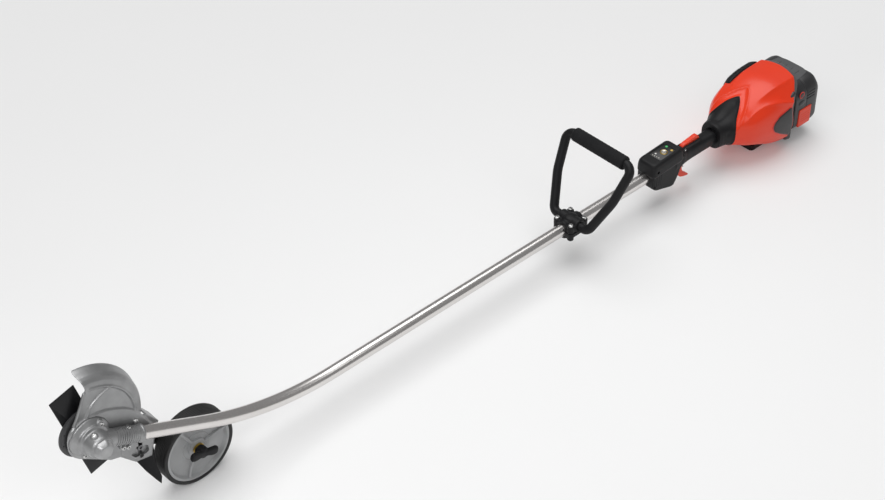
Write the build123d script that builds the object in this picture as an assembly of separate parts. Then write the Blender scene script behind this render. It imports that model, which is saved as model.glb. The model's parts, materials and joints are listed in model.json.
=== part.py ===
from build123d import *
import math
import os

# A battery lawn edger, in millimetres. It is modelled around its cutter: the spindle axis is the Y axis, the
# drive shaft's axis meets it at (0, 0, 0), +X runs back along the shaft to the motor and +Z is up. At the very end
# everything is moved so that the origin is the middle of the bottom of the whole object's box.

# Drive shaft
TUBE_RADIUS = 12.5
TUBE_WALL = 1.5
HEAD_ANGLE = 26.0
BEND_RADIUS = 640.0
BEND_START = 240.0
TUBE_FIRST = 45.0
TUBE_LAST = 1562.0
LINER_RADIUS = 6.0
LINER_BORE = 3.6
CABLE_RADIUS = 3.2
RIB_PLACES_LOW = (90, 200)
RIB_PLACES_HIGH = (620, 840, 1060, 1280, 1500)

# Right-angle gear head
GEAR_TEETH = 24
PINION_TEETH = 12
GEAR_MODULE = 1.5
TOOTH_LENGTH = 6.6
BARREL_RADIUS = 26.0
FLANGE_RADIUS = 37.0
FLANGE_FACE = 16.0
NOSE_FACE = -37.5
SPINDLE_RADIUS = 6.0
PINION_SHAFT_RADIUS = 6.0
SPINDLE_THREAD_RADIUS = 5.0
SPINDLE_END = 47.0
LOCK_HOLE_RADIUS = 2.6
LOCK_HOLE_AT = 31.5

# Cutter
BLADE_LENGTH = 200.0
BLADE_WIDTH = 50.0
BLADE_THICK = 2.4
BLADE_FACE = 30.6
BLADE_ANGLE = 105.0
BLADE_BORE = 12.7
DISC_RADIUS = 46.0

# Cast guard
GUARD_THICK = 3.0
FAN_RADIUS = 93.0
RIM_ROLL = 20.0
RIM_EDGE = 49.0
TAIL_EDGE = 46.0
RIM_RADIUS = 116.0
RIM_FROM = -14.0
RIM_TO = 86.0
GUARD_SCREWS = ((74.4, -22), (89, -21))

# Depth wheel
WHEEL_X = 205.7
WHEEL_Z = -176.7
WHEEL_RADIUS = 74.0
WHEEL_NEAR = 16.0
WHEEL_FAR = 50.0
HUB_RADIUS = 66.0
AXLE_RADIUS = 5.0
AXLE_END = 4.0
BUSH_RADIUS = 8.0
BUSH_FACE = 16.5
HUB_FACE = 20.5
HUB_RIBS = 3
HUB_RIB_ANGLE = -5.0
KNOB_FACE = -3.0
WING_LENGTH = 57.0
WING_ANGLE = 18.0
ARM_FACE = 52.0

# Front handle
CLAMP_X = 1109.0
HANDLE_TILT = 28.6
LOOP_RADIUS = 9.5
FOAM_RADIUS = 14.2
LOOP_TOP = 157.0
PIVOT_RISE = 9.0
BOLT_SPACING = 37.0

# Rear handle
BOX_FRONT = 1316.0
BOX_REAR = 1412.0
BOX_HALF = 25.0
GRIP_REAR = 1533.0
GRIP_HALF = 18.0
CASE_WALL = 2.5

# Motor unit
COVER_REAR = 1712.0
SHELL_WALL = 3.0
RAIL_RISE = 6.0
ROTOR_RADIUS = 22.0
STATOR_RADIUS = 40.0
MOTOR_SHAFT_RADIUS = 5.0
BELL_RADIUS = 44.0
MOTOR_FRONT = 1628.0
MOTOR_REAR = 1672.0
BATTERY_REAR = 1800.0

RUN_CLEARANCE = 0.05
BODY_GAP = 0.4

SHAFT_Z = -(BEND_START * math.sin(math.radians(HEAD_ANGLE))
            + BEND_RADIUS * (1 - math.cos(math.radians(HEAD_ANGLE))))
BEND_CORNER = -SHAFT_Z / math.tan(math.radians(HEAD_ANGLE))
FLOOR_Z = WHEEL_Z - WHEEL_RADIUS
PIVOT_Z = SHAFT_Z + PIVOT_RISE
KEYPAD_LENGTH = 64.0
KEYPAD_WIDTH = 36.0
BUTTON_X = 6.0
BUTTON_RADIUS = 6.0
PIN_RADIUS = 1.5
TRIGGER_PIVOT_X = BOX_REAR + 18
TRIGGER_PIVOT_Z = SHAFT_Z - 18.5
LEVER_PIVOT_X = BOX_REAR + 22
LEVER_PIVOT_Z = SHAFT_Z + 20
BAY_NEAR = -70.0
LATCH_X = 1753.0

parts = {}


def rod(radius, start, end):
    """A solid cylinder between two points."""
    start, end = Vector(*start), Vector(*end)
    along = end - start
    low = (Align.CENTER, Align.CENTER, Align.MIN)
    return Plane(origin=start, z_dir=along) * Cylinder(radius, along.length, align=low)


def ring(outer, inner, start, end):
    """A round sleeve between two points."""
    start, end = Vector(*start), Vector(*end)
    reach = (end - start).normalized()
    return rod(outer, start, end) - rod(inner, start - reach, end + reach)


def block(low, high):
    """A box from its lowest corner to its highest."""
    size = [high[i] - low[i] for i in range(3)]
    middle = [(high[i] + low[i]) / 2 for i in range(3)]
    return Pos(*middle) * Box(*size)


def across(face_points, y_from, y_to):
    """An outline of (x, z) points, made solid from one y to another."""
    outline = Polyline(*[(x, y_from, z) for x, z in face_points], close=True)
    return extrude(make_face(outline), amount=y_to - y_from, dir=(0, 1, 0))


def turned_about_y(profile):
    """A solid of revolution about the Y axis from (radius, y) points."""
    outline = Polyline(*[(r, y, 0) for r, y in profile], close=True)
    return revolve(make_face(outline), Axis.Y, 360)


def turned_about_x(profile):
    """A solid of revolution about the X axis from (x, radius) points."""
    outline = Polyline(*[(x, r, 0) for x, r in profile], close=True)
    return revolve(make_face(outline), Axis.X, 360)


def slanted(shape):
    """Turn a shape built with the drive axis along X to the slope of the lower shaft."""
    return Rot(0, HEAD_ANGLE, 0) * shape


def on_shaft(shape):
    """Lift a shape built about the X axis to the level upper shaft."""
    return Pos(0, 0, SHAFT_Z) * shape


def hexagon_rod(across_flats, start, end):
    """A hexagonal prism between two points."""
    start, end = Vector(*start), Vector(*end)
    along = end - start
    face = Plane(origin=start, z_dir=along) * RegularPolygon(across_flats / 2, 6, major_radius=False)
    return extrude(face, amount=along.length, dir=along)


# ---- drive shaft ----

def shaft_path(first, last):
    """The shaft's centre line: straight, one large bend, straight."""
    slope = math.radians(HEAD_ANGLE)
    start = (first * math.cos(slope), 0, -first * math.sin(slope))
    return FilletPolyline(start, (BEND_CORNER, 0, SHAFT_Z), (last, 0, SHAFT_Z), radius=BEND_RADIUS)


def shaft_tube(outer, inner, first, last):
    path = shaft_path(first, last)
    end_plane = Plane(origin=path @ 0, z_dir=path % 0)
    return sweep(end_plane * (Circle(outer) - Circle(inner)), path=path)


def make_shaft():
    parts["shaft_tube"] = shaft_tube(TUBE_RADIUS, TUBE_RADIUS - TUBE_WALL, TUBE_FIRST, TUBE_LAST)
    liner = shaft_tube(LINER_RADIUS, LINER_BORE, TUBE_FIRST + 5, TUBE_LAST - 5)
    for x in RIB_PLACES_LOW:
        liner += slanted(ring(TUBE_RADIUS - TUBE_WALL, LINER_BORE + 1, (x, 0, 0), (x + 18, 0, 0)))
    for x in RIB_PLACES_HIGH:
        liner += on_shaft(ring(TUBE_RADIUS - TUBE_WALL, LINER_BORE + 1, (x, 0, 0), (x + 18, 0, 0)))
    parts["cable_liner"] = liner
    path = shaft_path(TUBE_FIRST + 0.5, TUBE_LAST - 0.5)
    cable = sweep(Plane(origin=path @ 0, z_dir=path % 0) * Circle(CABLE_RADIUS), path=path)
    parts["drive_cable"] = cable


# ---- gear head ----

def bevel_tooth(axial, radial, in_sign):
    """One straight tooth in the X-Y plane, tapering to the apex at (0, 0, 0).

    axial is the pitch point's (x, y); radial is the unit normal of the pitch cone, out of the gear's own body.
    """
    pitch_point = Vector(axial[0], axial[1], 0)
    outward = Vector(radial[0], radial[1], 0)
    cone = pitch_point.normalized()
    shrink = 1 - TOOTH_LENGTH / pitch_point.length
    addendum = 0.85 * GEAR_MODULE
    dedendum = 1.5 * GEAR_MODULE
    half = 0.19 * math.pi * GEAR_MODULE
    flank = math.tan(math.radians(20))
    faces = []
    for scale in (1.0, shrink):
        plane = Plane(origin=pitch_point * scale, x_dir=(0, 0, in_sign), z_dir=cone)
        up = 1 if plane.y_dir.dot(outward) > 0 else -1
        low, high = -dedendum * scale * up, addendum * scale * up
        wide, narrow = (half + dedendum * flank) * scale, (half - addendum * flank) * scale
        faces.append(plane * make_face(Polyline((-wide, low), (wide, low), (narrow, high), (-narrow, high),
                                                close=True)))
    return loft(faces, ruled=True)


def gear_pitch():
    """The two gears' pitch radii: the gear turns about Y and the pinion about the drive axis."""
    return GEAR_MODULE * GEAR_TEETH / 2, GEAR_MODULE * PINION_TEETH / 2


def make_bevel_gear():
    gear_r, pinion_r = gear_pitch()
    cone = Vector(gear_r, -pinion_r, 0)
    normal = Vector(pinion_r, gear_r, 0).normalized()
    shrink = 1 - TOOTH_LENGTH / cone.length
    root = cone - normal * (1.25 * GEAR_MODULE)
    inner = root * shrink
    blank = turned_about_y([(SPINDLE_RADIUS, -20), (10, -20), (10, -16.5), (root.X, -14.5), (root.X, root.Y),
                            (inner.X, inner.Y), (SPINDLE_RADIUS, inner.Y)])
    tooth = bevel_tooth((cone.X, cone.Y), (normal.X, normal.Y), 1)
    step = 360 / GEAR_TEETH
    teeth = [Rot(0, (i + 0.5) * step, 0) * tooth for i in range(GEAR_TEETH)]
    parts["bevel_gear"] = slanted(blank.fuse(*teeth))


def make_pinion():
    gear_r, pinion_r = gear_pitch()
    cone = Vector(gear_r, -pinion_r, 0)
    normal = Vector(-pinion_r, -gear_r, 0).normalized()
    shrink = 1 - TOOTH_LENGTH / cone.length
    root = cone - normal * (1.25 * GEAR_MODULE)
    inner = root * shrink
    blank = turned_about_x([(inner.X, 0), (inner.X, -inner.Y), (root.X, -root.Y), (24, 7.3),
                            (24, PINION_SHAFT_RADIUS), (44, PINION_SHAFT_RADIUS), (44, 0)])
    tooth = bevel_tooth((cone.X, cone.Y), (normal.X, normal.Y), 1)
    step = 360 / PINION_TEETH
    teeth = [Rot(i * step, 0, 0) * tooth for i in range(PINION_TEETH)]
    socket = block((34, -2.2, -2.2), (45, 2.2, 2.2))
    parts["pinion_gear"] = slanted(blank.fuse(*teeth) - socket)


def make_gearcase():
    barrel = turned_about_y([(0, -29), (17, -29), (20, -25.5), (BARREL_RADIUS, -19), (BARREL_RADIUS, 10),
                             (FLANGE_RADIUS, 10), (FLANGE_RADIUS, FLANGE_FACE), (20, FLANGE_FACE),
                             (20, FLANGE_FACE + 6.2), (0, FLANGE_FACE + 6.2)])
    socket = rod(15.8, (0, 0, 0), (46, 0, 0)) + rod(14.6, (40, 0, 0), (82, 0, 0))
    for i in range(8):
        x = 50 + 4 * i
        socket += rod(15.7, (x, 0, 0), (x + 1.8, 0, 0))
    pinch = block((56, -7, -24), (76, 7, -10))
    body = barrel + socket + pinch
    body -= rod(22, (0, -21.5, 0), (0, 7, 0))
    body -= rod(12, (0, 0, 0), (23, 0, 0)) - block((-5, 9.6, -15), (16, 15, 15))
    body -= rod(11, (0, -30, 0), (0, -21, 0))
    body -= rod(12, (0, 6, 0), (0, 11, 0))
    body -= rod(14, (0, FLANGE_FACE - 5.5, 0), (0, FLANGE_FACE + 7, 0))
    body -= rod(12, (22, 0, 0), (41, 0, 0))
    body -= rod(10, (40, 0, 0), (46, 0, 0))
    body -= rod(TUBE_RADIUS, (TUBE_FIRST - 0.2, 0, 0), (90, 0, 0))
    body -= block((52, -0.8, -30), (90, 0.8, -5))
    for x in (61, 71):
        body -= rod(2.1, (x, -12, -18.5), (x, 12, -18.5))
    body -= rod(LOCK_HOLE_RADIUS, (-LOCK_HOLE_AT, 0, 0), (-LOCK_HOLE_AT, 30, 0))
    for angle in (45, 135, 225, 315):
        x, z = 31.5 * math.cos(math.radians(angle)), 31.5 * math.sin(math.radians(angle))
        body -= rod(2.1, (x, 0, z), (x, 20, z))
    parts["gearcase"] = slanted(body)


def make_gearcase_trim():
    cap = hexagon_rod(27, (0, -29, 0), (0, NOSE_FACE, 0))
    bevel = turned_about_y([(0, NOSE_FACE), (10.5, NOSE_FACE), (16, NOSE_FACE + 7), (16, -29), (0, -29)])
    parts["nose_cap"] = slanted((cap & bevel) + rod(10.9, (0, -29.4, 0), (0, -27.9, 0)))
    bolts = []
    for angle in (45, 135, 225, 315):
        x, z = 31.5 * math.cos(math.radians(angle)), 31.5 * math.sin(math.radians(angle))
        head = hexagon_rod(7, (x, 4, z), (x, 8, z))
        bolts.append(slanted(head + rod(2.05, (x, 7, z), (x, FLANGE_FACE + GUARD_THICK, z))))
    parts["flange_bolts"] = Compound(children=bolts)
    pinch_screws = []
    for x in (61, 71):
        screw = rod(3.8, (x, -11, -18.5), (x, -7, -18.5)) + rod(2.05, (x, -8, -18.5), (x, 9, -18.5))
        screw -= hexagon_rod(3, (x, -11.5, -18.5), (x, -9, -18.5))
        pinch_screws.append(slanted(screw))
    return pinch_screws


def make_head_bearings():
    seat = FLANGE_FACE - 5.5
    bearings = [ring(11, 4 + RUN_CLEARANCE, (0, -27.8, 0), (0, -21.6, 0)),
                ring(14, SPINDLE_RADIUS + RUN_CLEARANCE, (0, seat, 0), (0, seat + 7.8, 0))]
    for x in (24.3, 33):
        bearings.append(ring(12, PINION_SHAFT_RADIUS + RUN_CLEARANCE, (x, 0, 0), (x + 7.8, 0, 0)))
    parts["head_bearings"] = Compound(children=[slanted(bearing) for bearing in bearings])
    bore = SPINDLE_RADIUS + RUN_CLEARANCE
    parts["spindle_seal"] = slanted(ring(14, bore, (0, seat + 7.9, 0), (0, seat + 11.7, 0)))


# ---- cutter ----

def make_cutter():
    spindle = rod(4, (0, -27.5, 0), (0, -21, 0)) + rod(SPINDLE_RADIUS, (0, -21.2, 0), (0, 33, 0))
    spindle += rod(SPINDLE_THREAD_RADIUS, (0, 32, 0), (0, SPINDLE_END, 0))
    parts["spindle"] = slanted(spindle)
    disc = turned_about_y([(SPINDLE_RADIUS, 22.8), (30, 22.8), (41, 23.6), (DISC_RADIUS, 25.8),
                           (DISC_RADIUS, 29.6), (DISC_RADIUS - 3, 29.6), (DISC_RADIUS - 3, 27), (30, 25.6),
                           (SPINDLE_RADIUS, 25.6)])
    disc -= rod(LOCK_HOLE_RADIUS, (-LOCK_HOLE_AT, 20, 0), (-LOCK_HOLE_AT, 40, 0))
    parts["dust_disc"] = slanted(disc)
    driver = ring(19, SPINDLE_RADIUS, (0, 25.6, 0), (0, BLADE_FACE, 0))
    driver += ring(BLADE_BORE - RUN_CLEARANCE, SPINDLE_RADIUS, (0, BLADE_FACE - 1, 0), (0, 32.8, 0))
    parts["blade_driver"] = slanted(driver)
    bar = block((-BLADE_LENGTH / 2, BLADE_FACE, -BLADE_WIDTH / 2),
                (BLADE_LENGTH / 2, BLADE_FACE + BLADE_THICK, BLADE_WIDTH / 2))
    bar -= rod(BLADE_BORE, (0, 20, 0), (0, 40, 0))
    parts["blade"] = Rot(0, -BLADE_ANGLE, 0) * bar
    washer = turned_about_y([(SPINDLE_THREAD_RADIUS, 34), (13.5, 34), (15, 33), (21, 33), (21, 35),
                             (15, 37.5), (SPINDLE_THREAD_RADIUS, 37.5)])
    parts["blade_washer"] = slanted(washer)
    nut = hexagon_rod(16, (0, 37.5, 0), (0, 45, 0)) - rod(SPINDLE_THREAD_RADIUS, (0, 30, 0), (0, 50, 0))
    parts["blade_nut"] = slanted(nut)


# ---- guard ----

def polar(radius, angle):
    return radius * math.cos(math.radians(angle)), radius * math.sin(math.radians(angle))


def make_guard():
    near, far = FLANGE_FACE, FLANGE_FACE + GUARD_THICK
    start = polar(FAN_RADIUS + 1, RIM_FROM)
    middle = polar(FAN_RADIUS + 1, (RIM_FROM + RIM_TO) / 2)
    finish = polar(FAN_RADIUS + 1, RIM_TO)
    low_points = [finish, (-12, 64), (-36, 22), (-39, -8), (-30, -32), (3, -56), (33, -80), (50, -86),
                  (80, -119), (112, -126), (123, -92), (136, -58), (112, -26), start]
    edge = ThreePointArc(start, middle, finish) + Polyline(*low_points)
    lay = Plane(origin=(0, near, 0), x_dir=(1, 0, 0), z_dir=(0, -1, 0))
    plate = lay * extrude(make_face(edge), -GUARD_THICK)
    wall = GUARD_THICK
    turn = near + RIM_ROLL
    outer = FAN_RADIUS + RIM_ROLL
    bow = RIM_ROLL * math.sqrt(0.5)
    inner_bow = (RIM_ROLL - wall) * math.sqrt(0.5)
    roll = make_face(
        ThreePointArc((FAN_RADIUS, near), (FAN_RADIUS + bow, turn - bow), (outer, turn))
        + Line((outer, turn), (RIM_RADIUS, RIM_EDGE))
        + Line((RIM_RADIUS, RIM_EDGE), (RIM_RADIUS - wall, RIM_EDGE))
        + Line((RIM_RADIUS - wall, RIM_EDGE), (outer - wall, turn))
        + ThreePointArc((outer - wall, turn), (FAN_RADIUS + inner_bow, turn - inner_bow), (FAN_RADIUS, far))
        + Line((FAN_RADIUS, far), (FAN_RADIUS, near)))
    rim = Rot(0, -RIM_FROM, 0) * revolve(roll, Axis.Y, -(RIM_TO - RIM_FROM))
    tail = across([(111.5, -28), (134.5, -58), (121.5, -91), (118.5, -90), (131.3, -58.4), (109, -29.5)],
                  near, TAIL_EDGE)
    plate += rim + tail
    plate -= rod(20.2, (0, 0, 0), (0, 30, 0))
    for angle in (45, 135, 225, 315):
        x, z = polar(31.5, angle - HEAD_ANGLE)
        plate -= rod(2.1, (x, 0, z), (x, 30, z))
    for x, z in GUARD_SCREWS:
        plate -= rod(2.1, (x, 0, z), (x, 30, z))
    x, z = polar(LOCK_HOLE_AT, 180 - HEAD_ANGLE)
    plate -= rod(LOCK_HOLE_RADIUS + 0.6, (x, 0, z), (x, 30, z))
    plate -= block((86, 0, -112), (94, 30, -66))
    parts["guard"] = plate
    screws = []
    for x, z in GUARD_SCREWS:
        head = rod(4.2, (x, near - 3.4, z), (x, near, z))
        head -= hexagon_rod(4, (x, near - 4, z), (x, near - 1.6, z))
        screws.append(head + rod(2.05, (x, near - 1, z), (x, 23.5, z)))
    return screws


def make_flap():
    """A rubber flap: a leaf across the guard's tail, and a skirt that carries the guard's face downwards."""
    leaf = [(114.6, -84), (117.8, -84), (122.0, -200), (118.8, -200)]
    skirt = [(84, -128), (114, -128.5), (125.5, -186), (122, -201.5)]
    flap = across(leaf, FLANGE_FACE + GUARD_THICK + BODY_GAP, TAIL_EDGE)
    flap += across(skirt, FLANGE_FACE, FLANGE_FACE + GUARD_THICK)
    parts["debris_flap"] = flap


# ---- depth wheel ----

def make_wheel_carrier():
    near = FLANGE_FACE + GUARD_THICK + 0.3
    slide_plate = across([(70, -60), (110, -60), (110, -118), (82, -112), (70, -96)], near, near + 4)
    offset_web = across([(106, -60), (110, -60), (110, -118), (106, -117)], near, ARM_FACE + 4)
    arm = across([(106, -84), (118, -86), (214, -164), (214, -188), (196, -188), (106, -118)],
                 ARM_FACE, ARM_FACE + 4)
    boss = rod(14, (WHEEL_X, ARM_FACE, WHEEL_Z), (WHEEL_X, ARM_FACE + 4, WHEEL_Z))
    plate = slide_plate + offset_web + arm + boss
    plate -= rod(AXLE_RADIUS, (WHEEL_X, 45, WHEEL_Z), (WHEEL_X, 65, WHEEL_Z))
    plate -= rod(3.1, (90, 10, -89), (90, 30, -89))
    parts["wheel_bracket"] = plate
    axle = rod(AXLE_RADIUS, (WHEEL_X, AXLE_END, WHEEL_Z), (WHEEL_X, ARM_FACE + 4, WHEEL_Z))
    axle += hexagon_rod(16, (WHEEL_X, ARM_FACE + 4, WHEEL_Z), (WHEEL_X, ARM_FACE + 9, WHEEL_Z))
    parts["axle_bolt"] = axle
    bush = ring(BUSH_RADIUS, AXLE_RADIUS, (0, BUSH_FACE, 0), (0, ARM_FACE, 0))
    parts["axle_bush"] = Pos(WHEEL_X, 0, WHEEL_Z) * bush
    head_face = FLANGE_FACE - 0.3
    bolt = rod(3, (90, head_face - 4, -89), (90, near + 8, -89))
    bolt += rod(7, (90, head_face - 4, -89), (90, head_face, -89))
    nut = hexagon_rod(11, (90, near + 4, -89), (90, near + 9, -89)) - rod(3, (90, 0, -89), (90, 50, -89))
    parts["depth_clamp"] = Compound(children=[bolt, nut])


def make_wheel():
    middle = (WHEEL_X, 0, WHEEL_Z)
    tyre = turned_about_y([(HUB_RADIUS, WHEEL_NEAR), (WHEEL_RADIUS - 1.5, WHEEL_NEAR), (WHEEL_RADIUS, 18),
                           (WHEEL_RADIUS, 48), (WHEEL_RADIUS - 1.5, WHEEL_FAR), (HUB_RADIUS, WHEEL_FAR)])
    parts["tyre"] = Pos(*middle) * tyre
    bore = BUSH_RADIUS + RUN_CLEARANCE
    lip = HUB_RADIUS - 4
    hub = turned_about_y([(bore, HUB_FACE), (17, HUB_FACE), (17, 27), (HUB_RADIUS - 5, 23), (lip, 17),
                          (HUB_RADIUS, 17), (HUB_RADIUS, 49), (lip, 49), (lip, 27), (17, 31), (17, 51.2),
                          (bore, 51.2)])
    for i in range(HUB_RIBS):
        rib = block((15, HUB_FACE - 0.5, -1.3), (HUB_RADIUS - 2, 47, 1.3))
        hub += Rot(0, 360 / HUB_RIBS * i + HUB_RIB_ANGLE, 0) * rib
    parts["wheel_hub"] = Pos(*middle) * hub


def make_knob():
    """A wing knob screwed onto the axle's near end; its wing slopes down to the rear."""
    half = WING_LENGTH / 2
    body = rod(10.5, (0, KNOB_FACE + 4, 0), (0, BUSH_FACE - 0.3, 0))
    outline = [(-half, -5), (-half, 4), (-half + 9, 6), (-12, 4.5), (12, 4.5), (half - 9, 6), (half, 4),
               (half, -5), (half - 9, -6), (12, -5), (-12, -5), (-half + 9, -6)]
    wing = across(outline, KNOB_FACE, KNOB_FACE + 8)
    knob = body + wing
    knob -= rod(AXLE_RADIUS + RUN_CLEARANCE, (0, AXLE_END - 0.5, 0), (0, BUSH_FACE, 0))
    parts["wing_knob"] = Pos(WHEEL_X, 0, WHEEL_Z) * Rot(0, WING_ANGLE, 0) * knob


# ---- front handle ----

def make_front_handle():
    top = LOOP_TOP
    half_path = FilletPolyline((0, 15, 0), (0, 46, 0), (0, 74, 76), (0, 87, top), (0, 0, top),
                               radius=[16, 90, 17])
    half = sweep(Plane(origin=half_path @ 0, z_dir=half_path % 0) * Circle(LOOP_RADIUS), path=half_path)
    loop = half + mirror(half, about=Plane.XZ)
    foam = ring(FOAM_RADIUS, LOOP_RADIUS, (0, -66, top), (0, 66, top))
    place = Pos(CLAMP_X, 0, PIVOT_Z) * Rot(0, HANDLE_TILT, 0)
    parts["handle_loop"] = place * loop
    parts["handle_grip"] = place * foam


def clamp_bolt_places():
    return [(CLAMP_X + x, y) for x in (-BOLT_SPACING / 2, BOLT_SPACING / 2)
            for y in (-BOLT_SPACING / 2, BOLT_SPACING / 2)]


def make_clamp():
    low, high = CLAMP_X - 25, CLAMP_X + 25
    lower = block((low, -26, SHAFT_Z - 20), (high, 26, SHAFT_Z - 0.4))
    lower = fillet(lower.edges().filter_by(Axis.X).group_by(Axis.Z)[0], 6)
    upper = block((low, -26, SHAFT_Z + 0.4), (high, 26, SHAFT_Z + 16))
    upper += rod(14, (CLAMP_X, -26, PIVOT_Z), (CLAMP_X, 26, PIVOT_Z))
    upper -= block((low, -30, SHAFT_Z - 10), (high, 30, SHAFT_Z + 0.4))
    shaft_hole = rod(TUBE_RADIUS + RUN_CLEARANCE, (low - 5, 0, SHAFT_Z), (high + 5, 0, SHAFT_Z))
    loop_hole = rod(LOOP_RADIUS + RUN_CLEARANCE, (CLAMP_X, 14.7, PIVOT_Z), (CLAMP_X, 40, PIVOT_Z))
    upper -= [shaft_hole, loop_hole, mirror(loop_hole, about=Plane.XZ)]
    lower -= [shaft_hole, loop_hole, mirror(loop_hole, about=Plane.XZ)]
    bolts = []
    for x, y in clamp_bolt_places():
        hole = rod(2.6, (x, y, SHAFT_Z - 30), (x, y, SHAFT_Z + 30))
        upper -= hole
        lower -= hole
        head = rod(4.5, (x, y, SHAFT_Z + 16), (x, y, SHAFT_Z + 20.5))
        head -= hexagon_rod(4, (x, y, SHAFT_Z + 18), (x, y, SHAFT_Z + 22))
        bolts.append(head + rod(2.6, (x, y, SHAFT_Z - 18), (x, y, SHAFT_Z + 17)))
    parts["clamp_lower"] = lower
    parts["clamp_upper"] = upper
    parts["clamp_bolts"] = Compound(children=bolts)


# ---- rear handle: control box, grip, trigger and lockout lever ----

def rounded_slab(points, half_width, edge_radius):
    """A side profile of (x, z) points made solid across the middle plane, with its long edges rounded."""
    slab = across(points, -half_width, half_width)
    rims = slab.edges().group_by(Axis.Y)
    return fillet(rims[0] + rims[-1], edge_radius)


def case_outline(inset):
    """Side outlines of the control box and of the grip behind it, moved in by the wall's thickness."""
    front, rear = BOX_FRONT + inset, BOX_REAR - inset
    low, high = SHAFT_Z + inset, SHAFT_Z - inset
    return [(front, low - 25), (front, high + 24), (front + 9, high + 31), (rear - 6, high + 43),
            (rear, high + 37), (rear, low - 10), (rear - 18, low - 42), (front + 64, low - 42)]


def grip_body(half_width, low, high, first, last, edge_radius):
    slab = block((first, -half_width, SHAFT_Z + low), (last, half_width, SHAFT_Z + high))
    return fillet(slab.edges().filter_by(Axis.X), edge_radius)


def make_rear_case():
    outer = rounded_slab(case_outline(0), BOX_HALF, 6)
    outer += grip_body(GRIP_HALF, -17, 27, BOX_REAR - 8, GRIP_REAR, 12)
    neck_half = GRIP_HALF - 2
    outer += block((BOX_REAR - 12, -neck_half, SHAFT_Z - 30), (BOX_REAR + 14, neck_half, SHAFT_Z - 14))
    inner = across(case_outline(CASE_WALL), -BOX_HALF + CASE_WALL, BOX_HALF - CASE_WALL)
    inner += grip_body(GRIP_HALF - CASE_WALL, -14.5, 24.5, BOX_REAR - 12, GRIP_REAR - 6, 9.5)
    inner += block((BOX_REAR - 14, -8, SHAFT_Z - 28), (BOX_REAR + 11, 8, SHAFT_Z - 12))
    inner -= rod(TUBE_RADIUS + 3, (BOX_FRONT, 0, SHAFT_Z), (BOX_FRONT + 12, 0, SHAFT_Z))
    inner -= rod(TUBE_RADIUS + 3, (BOX_REAR + 108, 0, SHAFT_Z), (GRIP_REAR, 0, SHAFT_Z))
    shell = outer - inner
    shell -= rod(TUBE_RADIUS, (BOX_FRONT - 5, 0, SHAFT_Z), (GRIP_REAR + 5, 0, SHAFT_Z))
    shell -= block((BOX_REAR + 4, -8.4, SHAFT_Z - 40), (BOX_REAR + 40, 8.4, SHAFT_Z - 12))
    shell -= block((BOX_REAR + 12, -8.4, SHAFT_Z + 15), (BOX_REAR + 80, 8.4, SHAFT_Z + 40))
    shell -= keypad_plane() * (Pos(0, 0, -1.5) * Box(KEYPAD_LENGTH, KEYPAD_WIDTH, 5))
    for x, z in ((LEVER_PIVOT_X, LEVER_PIVOT_Z), (TRIGGER_PIVOT_X, TRIGGER_PIVOT_Z)):
        shell += rod(4.5, (x, -GRIP_HALF + 1, z), (x, -8.6, z))
        shell += rod(4.5, (x, 8.6, z), (x, GRIP_HALF - 1, z))
        shell -= rod(PIN_RADIUS, (x, -12, z), (x, 12, z))
    for x, z, half in case_screw_places():
        shell += rod(4, (x, -half + 1, z), (x, half - 1, z))
        shell -= rod(1.5, (x, -30, z), (x, 12, z))
        shell -= rod(3.2, (x, -30, z), (x, -half + 3.2, z))
    shell = shell - rod(TUBE_RADIUS, (BOX_FRONT - 5, 0, SHAFT_Z), (GRIP_REAR + 5, 0, SHAFT_Z))
    near = split(shell, bisect_by=Plane.XZ, keep=Keep.TOP)
    far = split(shell, bisect_by=Plane.XZ, keep=Keep.BOTTOM)
    parts["handle_case_near"] = near
    parts["handle_case_far"] = far
    screws = []
    for x, z, half in case_screw_places():
        head = rod(3, (x, -half + 0.8, z), (x, -half + 3.2, z))
        screws.append(head + rod(1.5, (x, -half + 2, z), (x, 10, z)))
    parts["case_screws"] = Compound(children=screws)


def case_screw_places():
    return [(BOX_FRONT + 10, SHAFT_Z - 19.5, BOX_HALF), (BOX_FRONT + 10, SHAFT_Z + 20, BOX_HALF),
            (BOX_REAR - 34, SHAFT_Z - 33, BOX_HALF), (BOX_REAR + 100, SHAFT_Z + 18.5, GRIP_HALF)]


def keypad_plane():
    """The control box's sloping top face, at the keypad's middle."""
    slope = math.degrees(math.atan2(12, BOX_REAR - BOX_FRONT - 15))
    middle_x = (BOX_FRONT + BOX_REAR) / 2 + 4
    return Pos(middle_x, 0, SHAFT_Z + 37.7) * Rot(0, -slope, 0)


def make_keypad():
    lay = keypad_plane()
    panel = Box(KEYPAD_LENGTH, KEYPAD_WIDTH, 2.4)
    panel = fillet(panel.edges().filter_by(Axis.Z), 4)
    lenses = []
    for x, y in ((20, 7), (14, -11), (-22, 8)):
        panel -= Pos(x, y, 0) * Cylinder(2.6, 10)
        lenses.append(lay * (Pos(x, y, 0.1) * Cylinder(2.6, 2.6)))
    panel -= Pos(BUTTON_X, 0, 0) * Cylinder(BUTTON_RADIUS + 0.4, 10)
    parts["keypad_panel"] = lay * panel
    parts["indicator_lenses"] = Compound(children=lenses)
    button = Pos(BUTTON_X, 0, 0.4) * Cylinder(BUTTON_RADIUS, 4)
    button += Pos(BUTTON_X, 0, -2.2) * Cylinder(BUTTON_RADIUS + 2, 1.2)
    parts["power_button"] = lay * button
    board = Pos(0, 0, -6.6) * Box(KEYPAD_LENGTH - 6, KEYPAD_WIDTH - 2, 1.6)
    board += Pos(BUTTON_X, 0, -5.2) * Box(6, 6, 1.6)
    board += Pos(-20, 0, -8.2) * Box(14, 14, 2.4)
    parts["keypad_board"] = lay * board


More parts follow.
